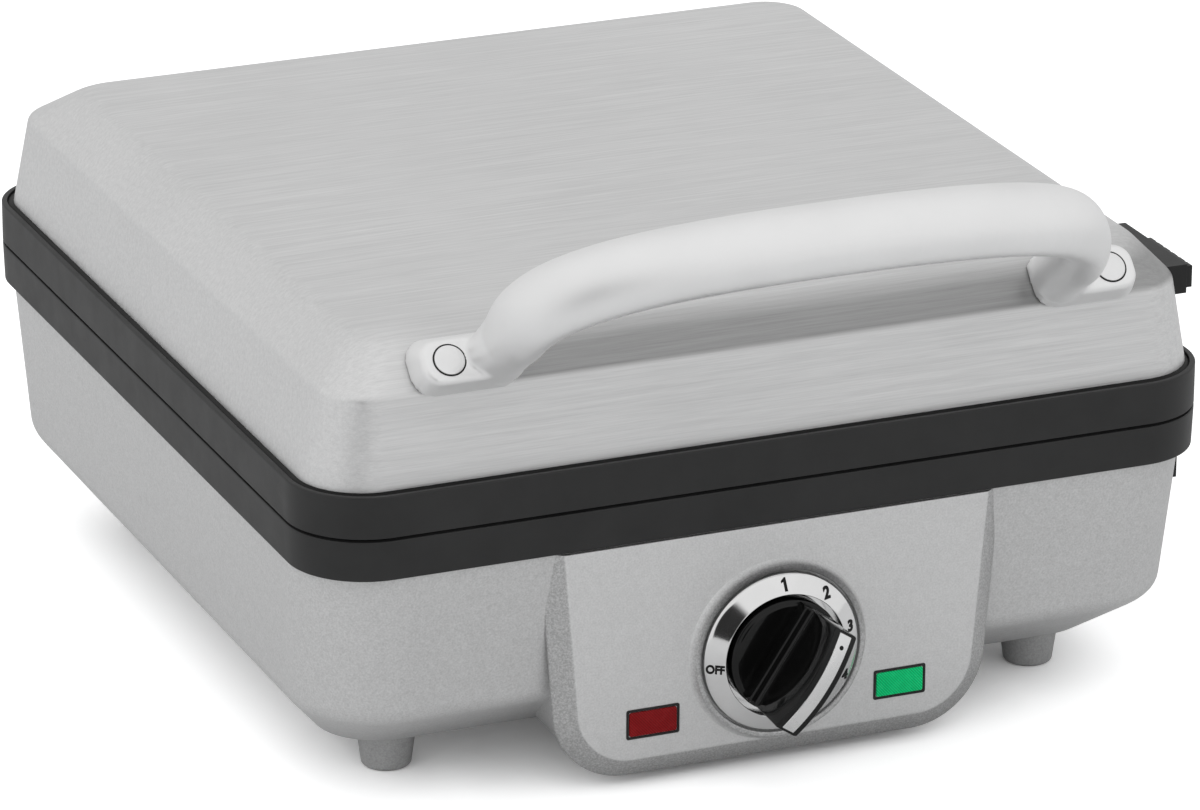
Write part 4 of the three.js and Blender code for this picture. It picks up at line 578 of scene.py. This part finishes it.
def rings_pair():
    """Two collars, each a profile [inset, z] carried round the rounded rectangle."""
    upper = rounded_profile(
        [(0, SEAM_HALF), (0, 15.2), (2.0, 15.2), (2.0, 4.2)], [0.5, 0.6, 0.3, 0])
    levels = [ring_level(i, z) for i, z in upper]
    levels += [RING_OPENING + (4.2,), RING_OPENING + (SEAM_HALF,)]
    co, faces = skin(plan_rings(levels), loop=True)
    make_object("upper_ring_skin", to_part(co), faces, "dark_ring", "lid", ["upper_ring"])
    lower = rounded_profile(
        [(9, -12.5), (9, -14.5), (0.5, -14.5), (0, -SEAM_HALF), (8, -SEAM_HALF)],
        [0, 0, 0.5, 0.5, 0])
    levels = [ring_level(i, z) for i, z in lower]
    levels += [RING_OPENING + (-SEAM_HALF,), RING_OPENING + (-4.2,), ring_level(2.0, -4.2),
               ring_level(2.5, -12.5)]
    co, faces = skin(plan_rings(levels), loop=True)
    make_object("lower_ring_skin", to_part(co), faces, "dark_ring", "base", ["lower_ring"])


def shade_strips():
    """Painted shade: a black band deep in the seam between the rings, and a black strip in the
    groove between the lid cover and the upper ring, both put where there is only shade.
    """
    # Painted shade deep in the open seam between the rings.
    band = [ring_level(i, z) for i, z in ((1.0, -0.5), (1.0, -0.05), (6.0, -0.05), (6.0, -0.5))]
    co, faces = skin(plan_rings(band), loop=True)
    make_object("seam_shade_band", to_part(co), faces, "print_black", "base")
    # Painted shade in the groove between the lid cover and the upper ring.
    at_ring, at_lid = (163.0, 171.35, 171.35, 25.6), (161.3, 169.1, 166.8, 22.9)
    strip = [at_ring + (9.0,), at_lid + (9.0,), at_lid + (15.5,), at_ring + (14.3,)]
    co, faces = skin(plan_rings(strip), loop=True)
    make_object("lid_groove_shade", to_part(co), faces, "print_black", "lid")


rings_pair()
shade_strips()


# Base housing
PANEL_TOP = 15.0


def panel_outline(top_half, low_half, low_drop, bottom, corner, top=PANEL_TOP):
    """Leaning sides, two large lower corners and a straight top, as (x, z) against the clock."""
    arc, hold = 18, 1.0
    lean = math.atan2(top_half - low_half, low_drop - PANEL_TOP)
    cz = -bottom + corner
    sz = cz - corner * math.sin(lean)
    cx = low_half + (sz + low_drop) * math.tan(lean) - corner * math.cos(lean)
    a = -math.pi / 2 + np.linspace(0, math.pi / 2 - lean, arc + 1)
    bow = np.stack([cx + corner * np.cos(a), cz + corner * np.sin(a)], -1)
    side = np.array([math.sin(lean), math.cos(lean)])
    top_x = low_half + (low_drop - top) * math.tan(lean)
    right = np.vstack([bow[0] - [hold, 0], bow, bow[-1] + side * hold, [top_x, -top]])
    left = right[::-1] * [-1, 1]
    return np.vstack([right, left])


def edge_outline(inset, top=PANEL_TOP, rise=0.0):
    """The panel's outer edge drawn in by an inset, its bottom raised by a rise."""
    return panel_outline(84.2 - inset, 79.7 - inset, 72.0, 99.8 - inset - rise, 27 - inset, top)


def front_rings(layers):
    """(x, z) outlines placed at a distance w in front of the ring centre."""
    return np.array([np.column_stack([o[:, 0], np.full(len(o), -w), o[:, 1]]) for o, w in layers])


def base_housing():
    """Housing skin with a sloping band below the shoulder, its floor, the control box, and the
    window that the lower release fills."""
    wall, floor = 2.5, -86.5
    levels = blended([
        (142.8, 135.0, 135.0, 22.0, -89.0, 0), (159.6, 163.6, 163.6, 31.0, -69.3, 4.0),
        (163.2, 171.4, 171.4, 34.0, -14.8, 0)])
    low = levels[0].copy()
    low[:4] -= 2.0
    rim = levels[0].copy()
    rim[:4] -= 0.5
    above_rim = levels[0] + (levels[1] - levels[0]) * 0.03
    inner = [v - np.array([wall, wall, wall, wall, 0]) for v in levels[::-1]]
    inner[-1][4] = floor
    rings = plan_rings([low, rim, above_rim] + levels[1:] + inner)
    co, faces = skin(rings, start=[[0, 0, -89.0]], end=[[0, 0, floor]])
    box = front_rings([
        (edge_outline(3.0, 14.8, 7.0), 105.0), (edge_outline(2.0, 14.8, 7.0), 106.0),
        (edge_outline(2.0, 14.8, 1.0), 122.0), (edge_outline(2.0, 14.8), 126.0),
        (edge_outline(2.0, 14.8), 167.0)])
    box_co, box_faces = skin(box, start=[[0, -105.0, -60]], end=[[0, -167.0, -60]], first=len(co))
    obj = make_object("housing_skin", to_part(np.vstack([co, box_co])), faces + box_faces,
                      "silver_paint", "base", ["base_housing"])
    opened(obj, (152, -146.1, -32.6), (170, -121.9, -19.8))


base_housing()


# Control panel
def control_panel():
    """Chamfered cover and the raised surround of the dial."""
    face = (77.1, 72.1, 74.0, 92.2, 20.0)
    half = (78.2, 73.3, 73.7, 93.4, 21.1)
    layers = [
        (edge_outline(0.6), 167.35), (edge_outline(0), 167.6), (edge_outline(0), 168.1),
        (edge_outline(0.5), 168.7), (panel_outline(*half), 172.55),
        (panel_outline(77.5, 72.5, 73.9, 92.6, 20.4), 172.95), (panel_outline(*face), 173.25),
        (panel_outline(76.3, 71.3, 74.0, 91.4, 19.2), FACE)]
    co, faces = skin(front_rings(layers), start=[[0, -167.35, -55]], end=[[0, -FACE, -55]])
    boss = lathe([(32.8, -0.3), (32.65, 0.0), (32.4, 0.35), (31.1, 2.45), (30.95, 2.75),
                  (30.7, 2.95), (30.4, 3.0), (29.6, 3.0), (29.3, 2.92), (29.15, 2.7),
                  (29.1, 2.4), (29.1, -0.3)], DIAL, (0, -1, 0), 128)
    boss_co, boss_faces = skin(boss, loop=True, first=len(co))
    make_object("panel_skin", to_part(np.vstack([co, boss_co])), faces + boss_faces,
                "panel_paint", "base", ["control_panel"], sharp=50)


control_panel()


# Dial and knob
# Front of the scale ring as (radius, rise above the panel).
CONE = [(22.6, 6.9), (26.4, 4.45), (27.1, 4.0), (27.65, 3.6), (28.05, 3.2), (28.3, 2.75)]


def cone_rise(radius):
    """How far the scale ring stands out at a radius."""
    return np.interp(radius, [r for r, _ in CONE], [h for _, h in CONE])


def dial_ring():
    """Scale ring: outer wall, rounded rim, cone that stands out towards the knob, inner wall."""
    profile = [(3.4, -0.5), (28.4, -0.5), (28.4, 2.2)] + CONE[::-1]
    profile += [(22.3, 7.08), (22.1, 7.16), (21.95, 7.1), (21.9, 6.9), (21.9, 0.3), (3.4, 0.3)]
    co, faces = skin(lathe(profile, DIAL, (0, -1, 0), 160), loop=True)
    make_object("dial_ring_skin", to_part(co), faces, "dial_chrome", "base", ["dial_ring"], sharp=30)


dial_ring()

# Knob as the photo shows it: the way it points, the way across the grip and the way out of the
# panel, then the rise of the grip's front edge, its drop at the ends and half its length.
KNOB_TURN = math.radians(33.8)
POINT = np.array([math.sin(KNOB_TURN), 0, math.cos(KNOB_TURN)])
ASIDE = np.array([math.cos(KNOB_TURN), 0, -math.sin(KNOB_TURN)])
FORWARD = np.array([0, -1.0, 0])
FRONT, CROWN, GRIP = 35.8, 4.5, 19.45


def front_rise(along):
    """The front edge of the grip is a parabola, lower at both ends."""
    return FRONT - CROWN * (np.asarray(along) / GRIP) ** 2


def knob_place(aside, along, rise):
    """Points from the knob's own measures: across the grip, along it and out from the panel."""
    aside, along, rise = np.broadcast_arrays(aside, along, rise)
    return (np.array(DIAL) + aside[..., None] * ASIDE + along[..., None] * POINT
            + rise[..., None] * FORWARD)


def blade(section, stations, top, first):
    """Half section (half width, share of the rise from `foot` to the front edge) repeated along
    the grip; each station is (along at the foot, along at the front, width factor)."""
    foot, edge = top
    rings = []
    for along_low, along_high, factor in stations:
        half = np.array([h for h, _ in section]) * factor
        share = np.array([t for _, t in section])
        along = along_low + (along_high - along_low) * np.clip(share, 0, 1)
        rise = foot + (front_rise(along) + edge - foot) * share
        low = np.concatenate([half, -half[::-1]])
        rings.append(knob_place(low, np.concatenate([along, along[::-1]]),
                                np.concatenate([rise, rise[::-1]])))
    rings = np.array(rings)
    return skin(rings, start=[rings[0].mean(0)], end=[rings[-1].mean(0)], first=first)


def root(first):
    """The wider foot of the grip: a straight side, a rounded shoulder and a hollow up to the
    blade, with both ends rounded in plan."""
    section = [(7.0, 7.4), (7.0, 12.2), (6.93, 12.7), (6.7, 13.1), (6.35, 13.35), (5.7, 13.6),
               (5.1, 13.95), (4.7, 14.5), (4.5, 15.3)]
    stations = [(-18.6, 0.93), (-18.45, 0.97), (-18.1, 0.99), (-17.4, 1.0)]
    stations += [(-y, f) for y, f in stations[::-1]]
    rings = []
    for along, factor in stations:
        half = np.array([h for h, _ in section]) * factor
        rise = np.array([r for _, r in section])
        rings.append(knob_place(np.concatenate([half, -half[::-1]]), along,
                                np.concatenate([rise, rise[::-1]])))
    rings = np.array(rings)
    return skin(rings, start=[rings[0].mean(0)], end=[rings[-1].mean(0)], first=first)


def grip_stations(low, high, round_off, bulk=22):
    """Stations along the grip, closer together and narrower at the two rounded ends."""
    ends = [(0.0, 0.86), (0.12, 0.93), (0.35, 0.98), (0.7, 1.0)]
    part = [(low - d * round_off, high - d * round_off, f) for d, f in ends]
    middle = np.linspace(1, -1, bulk)[1:-1]
    inside = [((low - round_off) * m, (high - round_off) * m, 1.0) for m in middle]
    return part + inside + [(-a, -b, f) for a, b, f in part[::-1]]


def knob():
    """Skirt disc, wider root and the blade of the grip."""
    skirt = lathe([(20.1, 1.6), (20.1, 6.7), (20.02, 7.1), (19.75, 7.45), (19.35, 7.6),
                   (18.9, 7.66), (18.6, 7.8), (18.3, 8.0), (17.9, 8.08)], DIAL, (0, -1, 0), 128)
    co, faces = skin(skirt, start=[np.array(DIAL) + 1.6 * FORWARD],
                     end=[np.array(DIAL) + 8.1 * FORWARD])
    root_co, root_faces = root(len(co))
    co, faces = np.vstack([co, root_co]), faces + root_faces
    section = [(4.5, 0.0), (4.5, 0.35), (4.6, 0.97), (4.56, 0.985), (4.45, 0.994), (4.2, 0.999),
               (3.9, 1.0), (2.6, 1.0), (0.0, 1.0)]
    blade_co, blade_faces = blade(section, grip_stations(18.9, GRIP, 0.9), (12.0, 0.0), len(co))
    co, faces = np.vstack([co, blade_co]), faces + blade_faces
    make_object("knob_skin", to_part(co), faces, "gloss_black", "dial_knob", ["knob"], sharp=38)


def knob_inlay():
    """Silver strip along the front edge of the grip, with a black dot where the knob points."""
    strip = [(2.4, 0.0), (2.4, 0.94), (2.3, 0.99), (2.1, 1.0), (0.0, 1.0)]
    reach, dot_radius = 18.4, 0.8
    stations = [(reach + 0.15, reach + 0.15, 0.97), (reach, reach, 1.0)]
    stations += [(reach * m, reach * m, 1.0) for m in np.linspace(1, -1, 22)[1:-1]]
    stations += [(-a, -b, f) for a, b, f in stations[1::-1]]
    co, faces = blade(strip, stations, (30.0, 0.25), 0)
    make_object("inlay_skin", to_part(co), faces, "inlay_silver", "dial_knob", ["knob_inlay"],
                sharp=20)
    along = 14.3
    slope = -2 * CROWN * along / GRIP ** 2
    way = FORWARD + slope * -POINT
    way /= np.linalg.norm(way)
    centre = knob_place(0.0, along, float(front_rise(along)) + 0.27)
    dot = lathe([(dot_radius, -0.1), (dot_radius, 0.04)], centre, way, 32)
    co, faces = skin(dot, start=[centre - 0.1 * way], end=[centre + 0.04 * way])
    make_object("pointer_dot", to_part(co), faces, "print_black", "dial_knob", sharp=20)


knob()
knob_inlay()

MARK_RADIUS = 25.2  # middle of the numbers, from the axis of the dial
MARK_RISE = 0.16  # print above the cone
# Plain stroke with a flag, in the shape of a 1.
FIGURE_ONE = [(-11, -50), (14, -50), (14, 50), (0, 50), (-30, 28), (-30, 10), (-11, 20)]


def dial_print():
    """Numbers 1 to 5 and OFF, laid on the cone: each is (text, degrees from the top, height)."""
    marks = [("1", -0.8, 4.1), ("2", 37.5, 4.1), ("3", 75, 4.1), ("4", 116, 4.1),
             ("5", 155, 4.1), ("OFF", -94.2, 3.3)]
    for text, degrees, height in marks:
        curve = bpy.data.curves.new("mark", "FONT")
        curve.body, curve.size = text, 1.0
        curve.align_x, curve.align_y = "CENTER", "CENTER"
        curve.offset = 0.045  # bolder strokes
        holder = bpy.data.objects.new("mark", curve)
        bpy.context.scene.collection.objects.link(holder)
        bpy.context.view_layer.update()
        printed = bpy.data.meshes.new_from_object(holder.evaluated_get(
            bpy.context.evaluated_depsgraph_get()))
        bpy.data.objects.remove(holder)
        flat = np.zeros(len(printed.vertices) * 3)
        printed.vertices.foreach_get("co", flat)
        flat = flat.reshape(-1, 3)[:, :2]
        faces = [list(p.vertices) for p in printed.polygons]
        if text == "1":
            flat = np.array(FIGURE_ONE) / 100
            faces = [list(range(len(flat)))]
        flat -= (flat.max(0) + flat.min(0)) / 2
        flat *= height / (flat[:, 1].max() - flat[:, 1].min())
        if text == "OFF":
            flat[:, 0] *= 0.74  # narrow letters
        a = math.radians(degrees)
        x = flat[:, 0] + MARK_RADIUS * math.sin(a)
        z = flat[:, 1] + MARK_RADIUS * math.cos(a)
        rise = cone_rise(np.hypot(x, z)) + MARK_RISE
        co = np.array(DIAL) + np.column_stack([x, -rise, z])
        make_object(f"scale_{text.lower()}", to_part(co), faces, "print_black", "base")


dial_print()


# Lenses
def lights():
    """Rounded lens blocks in thin black frames."""
    for name, x in (("heating", -LENS_X), ("ready", LENS_X)):
        def outline(width, height, corner):
            o = rounded_rect(width / 2, height / 2, height / 2, corner, arc=6, hold=0.1)
            return o + [x, LENS_Z]
        frame_layers = [
            (outline(19.3, 10.7, 0.8), 170.0), (outline(19.3, 10.7, 0.8), 173.55),
            (outline(19.0, 10.4, 0.7), 173.7), (outline(17.8, 9.2, 0.6), 173.7),
            (outline(17.5, 8.9, 0.6), 173.5), (outline(17.5, 8.9, 0.6), 170.0)]
        co, faces = skin(front_rings(frame_layers), loop=True)
        make_object(f"{name}_frame_skin", to_part(co), faces, "black_plastic", "base",
                    [f"{name}_bezel"])
        lens_layers = [
            (outline(17.3, 8.7, 0.8), 170.8), (outline(17.3, 8.7, 0.8), 173.5),
            (outline(17.1, 8.5, 0.7), 173.72), (outline(16.6, 8.0, 0.6), 173.8)]
        co, faces = skin(front_rings(lens_layers), start=[[x, -170.8, LENS_Z]],
                         end=[[x, -173.8, LENS_Z]])
        colour = "red_lens" if name == "heating" else "green_lens"
        make_object(f"{name}_lens_skin", to_part(co), faces, colour, "base", [f"{name}_lens"])


lights()


# Feet
def feet():
    """Tapered feet with a rounded lower edge."""
    floor, root_z, flat_radius, edge_radius = -103.6, -89.3, 7.1, 1.6
    turn = np.radians(np.linspace(0, 90, 7))
    edge = [(flat_radius + edge_radius * math.sin(t), floor + edge_radius * (1 - math.cos(t)))
            for t in turn]
    profile = edge + [(8.95, -100.0), (10.4, root_z)]
    for name, x, y in (("front_left", -FOOT_X, -FOOT_Y), ("front_right", FOOT_X, -FOOT_Y),
                       ("rear_left", -FOOT_X, FOOT_Y), ("rear_right", FOOT_X, FOOT_Y)):
        co, faces = skin(lathe(profile, (x, y, 0), (0, 0, 1), 64), start=[[x, y, floor]],
                         end=[[x, y, root_z]])
        make_object(f"foot_{name}_skin", to_part(co), faces, "foot_plastic", "base",
                    [f"foot_{name}"])


feet()


# Handle
# The front slope of the lid: the way up it, the way out of it and the middle of its foot.
SLOPE_UP = np.array([0, 14.0, 14.9]) / math.hypot(14.0, 14.9)
SLOPE_OUT = np.array([0, -SLOPE_UP[2], SLOPE_UP[1]])
SLOPE_FOOT = np.array([3.0, -166.4, 46.7])


def slope_rings(layers):
    """Outlines (across, up the slope) placed at a distance w out of it."""
    return np.array([SLOPE_FOOT + np.outer(o[:, 0], [1, 0, 0]) + np.outer(o[:, 1], SLOPE_UP)
                     + w * SLOPE_OUT for o, w in layers])


def flange(side, first):
    """Block on the front slope whose sides draw in towards its face."""
    def outline(u0, u1, v0, v1, corner):
        o = rounded_rect((u1 - u0) / 2, (v1 - v0) / 2, (v1 - v0) / 2, corner, arc=10, hold=0.3)
        return o + [side * (u0 + u1) / 2, (v0 + v1) / 2]
    layers = [
        (outline(93.5, 131, -2.2, 18.6, 7), 0.3), (outline(95.3, 128.7, -1.8, 14.5, 6.1), 8.9),
        (outline(95.8, 128.2, -1.4, 14.0, 5.7), 9.75),
        (outline(96.6, 127.4, -0.6, 13.2, 5.0), 10.05)]
    rings = slope_rings(layers)
    return skin(rings, start=[rings[0].mean(0)], end=[rings[-1].mean(0)], first=first)


def arch(first, count=96, around=40):
    """Oval tube along a superellipse arch, fuller across the grip and swollen at its roots."""
    t = np.pi * (1 - np.linspace(0, 1, count))
    c, s = np.cos(t), np.sin(t)
    foot_x, rise, bow, power = 100.8, 48.6, 7.9, 4.2
    x = foot_x * np.sign(c) * np.abs(c) ** (2 / power)
    h = rise * np.abs(s) ** (2 / power) + bow * (1 - (x / foot_x) ** 2)
    x = np.concatenate([[-foot_x], x, [foot_x]])
    h = np.concatenate([[-5.0], h, [-5.0]])
    dx, dh = np.gradient(x), np.gradient(h)
    length = np.hypot(dx, dh)
    fx, fh = dx / length, dh / length
    lean = math.radians(43.5)
    up = np.array([0, -math.cos(lean), math.sin(lean)])
    aside = np.array([0, math.sin(lean), math.cos(lean)])
    foot = SLOPE_FOOT + SLOPE_UP * 7.0 + SLOPE_OUT * 10.0
    centre = foot + np.outer(x, [1, 0, 0]) + np.outer(h, up)
    inward = np.outer(fh, [1, 0, 0]) - np.outer(fx, up)
    k = np.clip(h / 20.0, 0, 1)
    across = 9.7 + 3.1 * k * k * (3 - 2 * k)
    m = np.clip(h / 7.0, 0, 1)
    swell = 3.2 * (1 - m * m * (3 - 2 * m))
    a = np.linspace(0, 2 * math.pi, around, endpoint=False)
    outer = np.maximum(-np.cos(a), 0)
    reach = 9.35 + swell[:, None] * outer
    rings = (centre[:, None] + (reach * np.cos(a))[..., None] * inward[:, None]
             + (across[:, None] * np.sin(a))[..., None] * aside)
    return skin(rings, start=[rings[0].mean(0)], end=[rings[-1].mean(0)], first=first)


def handle():
    """Arch and flanges fused into one soft casting."""
    co, faces = arch(0)
    for side in (-1, 1):
        more_co, more_faces = flange(side, len(co))
        co, faces = np.vstack([co, more_co]), faces + more_faces
    obj = make_object("handle_skin", to_part(co), faces, "cast_handle", "lid", ["handle"])
    remesh = obj.modifiers.new("fuse", "REMESH")
    remesh.mode = "VOXEL"
    remesh.voxel_size = 0.0009
    remesh.use_smooth_shade = True
    soften = obj.modifiers.new("soften", "SMOOTH")
    soften.factor = 0.5
    soften.iterations = 6
    baked(obj)


def handle_caps():
    """Round cap on each flange, with a thin black ring round it that paints the shade in the gap
    about the cap.
    """
    across, up = 119.5, 6.2
    for side, label in ((-1, "left"), (1, "right")):
        centre = SLOPE_FOOT + side * across * np.array([1, 0, 0]) + up * SLOPE_UP
        # Painted shade: a black collar where the gap round the cap lies in shade.
        collar = lathe([(5.25, 8.5), (5.7, 8.5), (5.7, 10.22), (5.25, 10.22)],
                       centre, SLOPE_OUT, 64)
        co, faces = skin(collar, loop=True)
        make_object(f"cap_gap_shade_{label}", to_part(co), faces, "print_black", "lid")
        cap = lathe([(5.25, 6.8), (5.25, 10.2), (5.1, 10.42), (4.7, 10.52), (2.8, 10.57)],
                    centre, SLOPE_OUT, 64)
        co, faces = skin(cap, start=[centre + 6.8 * SLOPE_OUT], end=[centre + 10.58 * SLOPE_OUT])
        make_object(f"cap_skin_{label}", to_part(co), faces, "cap_silver", "lid",
                    [f"handle_cap_{label}"])


handle()
handle_caps()


# Upper release button
def release_button():
    """Smooth block with rounded corners that stands out of its bezel on the right."""
    def outline(inset, corner):
        o = rounded_rect(15.75 - inset, 4.05 - inset, 4.05 - inset, corner, arc=6, hold=0.2)
        return o + [-134, 42.5]  # middle of the button in Y and Z
    layers = [(outline(0, 1.6), 160.1), (outline(0, 1.6), 163.2), (outline(0.15, 1.6), 163.8),
              (outline(0.4, 1.4), 164.2), (outline(0.8, 1.0), 164.35)]
    rings = np.array([np.column_stack([np.full(len(o), x), o[:, 0], o[:, 1]])
                      for o, x in layers])
    co, faces = skin(rings, start=[rings[0].mean(0)], end=[rings[-1].mean(0)])
    make_object("release_button_skin", to_part(co), faces, "black_plastic", "upper_release")


release_button()


# Softened copies of CAD nodes
def softened(node, width):
    """A merged copy of a CAD node with its edges broken by a bevel, its width in mm."""
    mesh = frame["nodes"][node].data.copy()
    work = bmesh.new()
    work.from_mesh(mesh)
    bmesh.ops.remove_doubles(work, verts=work.verts, dist=1e-6)
    bmesh.ops.dissolve_limit(work, angle_limit=math.radians(1.0), verts=work.verts,
                             edges=work.edges)
    work.to_mesh(mesh)
    work.free()
    mesh.materials.clear()
    mesh.materials.append(MATS[SLOT[node]])
    obj = bpy.data.objects.new(node + "_soft", mesh)
    bpy.context.scene.collection.objects.link(obj)
    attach(obj, BODY[node])
    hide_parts(node)
    bevel = obj.modifiers.new("edge", "BEVEL")
    bevel.width = width * MM
    bevel.segments = 2
    bevel.limit_method = "ANGLE"
    bevel.angle_limit = math.radians(30)
    mesh.polygons.foreach_set("use_smooth", np.full(len(mesh.polygons), True))
    mesh.set_sharp_from_angle(angle=math.radians(32))


for node, width in (
        ("upper_release_button", 0.2), ("upper_release_bezel", 0.2), ("lower_release_button", 0.2),
        ("lower_release_bezel", 0.2), ("hinge_bracket_left", 0.4), ("hinge_bracket_right", 0.4),
        ("lid_hinge_left", 0.4), ("lid_hinge_right", 0.4), ("upper_waffle_plate", 0.5),
        ("lower_waffle_plate", 0.5), ("cord_gland", 0.4)):
    softened(node, width)


# Stage and light
FLOOR_HALF = 8.0  # half the floor's side, in metres
SHADOW_REACH = 0.035  # metres in which the object's closeness dims the floor
FLOOR_GLOW = 0.40  # openness, of 1, from which the floor has its full glow


def stage():
    """Floor with a faint mottle. The camera sees it as white, which a glow helps in the open and
    not in the shadow close under the object; gloss sees it pale grey."""
    def build(tree, shader):
        cloud = noise(tree, 3.0)
        path = tree.nodes.new("ShaderNodeLightPath")
        mottle = ranged(tree, cloud.outputs["Fac"], 0, 1)
        pale = mixed(tree, mottle, grey(0.84), grey(0.88))
        dull = mixed(tree, mottle, grey(0.62), grey(0.65))
        white = mixed(tree, mottle, grey(0.98), grey(1.0))
        other = mixed(tree, path.outputs["Is Glossy Ray"], pale, dull)
        tree.links.new(mixed(tree, path.outputs["Is Camera Ray"], other, white),
                       shader.inputs["Base Color"])
        shader.inputs["Roughness"].default_value = 0.9
        shader.inputs["Specular IOR Level"].default_value = 0.1
        near = tree.nodes.new("ShaderNodeAmbientOcclusion")
        near.samples = 8
        near.inputs["Distance"].default_value = SHADOW_REACH
        glow = ranged(tree, near.outputs["AO"], 0.0, FLOOR_GLOW, 0.05, 0.55)
        shader.inputs["Emission Color"].default_value = (1, 1, 1, 1)
        tree.links.new(combined(tree, "MULTIPLY", glow, path.outputs["Is Camera Ray"]),
                       shader.inputs["Emission Strength"])
    MATS["stage_white"] = material("stage_white", build)
    mesh = bpy.data.meshes.new("floor")
    half = FLOOR_HALF
    mesh.from_pydata([(-half, -half, 0), (half, -half, 0), (half, half, 0), (-half, half, 0)], [],
                     [(0, 1, 2, 3)])
    mesh.materials.append(MATS["stage_white"])
    floor = bpy.data.objects.new("floor", mesh)
    bpy.context.scene.collection.objects.link(floor)


stage()


def left_lamp():
    """A weak soft light from the left, above the object and a little in front of it."""
    place, aim = Vector((-2.2, -0.7, 1.5)), Vector((0, 0, 0.1))
    data = bpy.data.lights.new("left", "AREA")
    data.shape = "RECTANGLE"
    data.size = data.size_y = 1.4
    data.energy = 10
    lamp = bpy.data.objects.new("left", data)
    lamp.location = place
    lamp.visible_glossy = False
    lamp.rotation_euler = (aim - place).to_track_quat("-Z", "Y").to_euler()
    bpy.context.scene.collection.objects.link(lamp)


left_lamp()


def lobe(tree, around, az, el, inner, outer, low, high):
    """A soft round patch of the surroundings: `high` within `inner` degrees of the direction
    (az from the front, el above the floor), `low` beyond `outer` degrees."""
    az, el = math.radians(az), math.radians(el)
    toward = tree.nodes.new("ShaderNodeVectorMath")
    toward.operation = "DOT_PRODUCT"
    toward.inputs[1].default_value = (math.sin(az) * math.cos(el), -math.cos(az) * math.cos(el),
                                      math.sin(el))
    tree.links.new(around, toward.inputs[0])
    return ranged(tree, toward.outputs["Value"], low, high, math.cos(math.radians(outer)),
                  math.cos(math.radians(inner)))


def world():
    """White surroundings. Gloss also sees a lighter ceiling in front, a duller wall behind and
    the dark stand of the photographer, a soft round patch in front of the dial."""
    scene = bpy.context.scene
    scene.world = bpy.data.worlds.new("studio")
    scene.world.use_nodes = True
    tree = scene.world.node_tree
    tree.nodes.clear()
    path = tree.nodes.new("ShaderNodeLightPath")
    around = tree.nodes.new("ShaderNodeTexCoord").outputs["Generated"]
    ceiling = lobe(tree, around, 0, 60, 10, 60, 1.0, 1.08)
    wall = lobe(tree, around, 165, 12, 8, 60, 1.0, 0.84)
    stand = lobe(tree, around, -30, 12, 14, 19, 1.0, 0.03)
    total = combined(tree, "MULTIPLY", combined(tree, "MULTIPLY", ceiling, wall), stand)
    seen, gloss, soft = (tree.nodes.new("ShaderNodeBackground") for _ in range(3))
    seen.inputs["Color"].default_value = (1, 1, 1, 1)
    seen.inputs["Strength"].default_value = 1.0
    tree.links.new(total, gloss.inputs["Strength"])
    soft.inputs["Color"].default_value = (0.99, 0.995, 1.0, 1)
    soft.inputs["Strength"].default_value = 0.98
    first, second = (tree.nodes.new("ShaderNodeMixShader") for _ in range(2))
    output = tree.nodes.new("ShaderNodeOutputWorld")
    tree.links.new(path.outputs["Is Glossy Ray"], first.inputs[0])
    tree.links.new(soft.outputs[0], first.inputs[1])
    tree.links.new(gloss.outputs[0], first.inputs[2])
    tree.links.new(path.outputs["Is Camera Ray"], second.inputs[0])
    tree.links.new(first.outputs[0], second.inputs[1])
    tree.links.new(seen.outputs[0], second.inputs[2])
    tree.links.new(second.outputs[0], output.inputs["Surface"])
    scene.view_settings.view_transform = "Standard"


world()
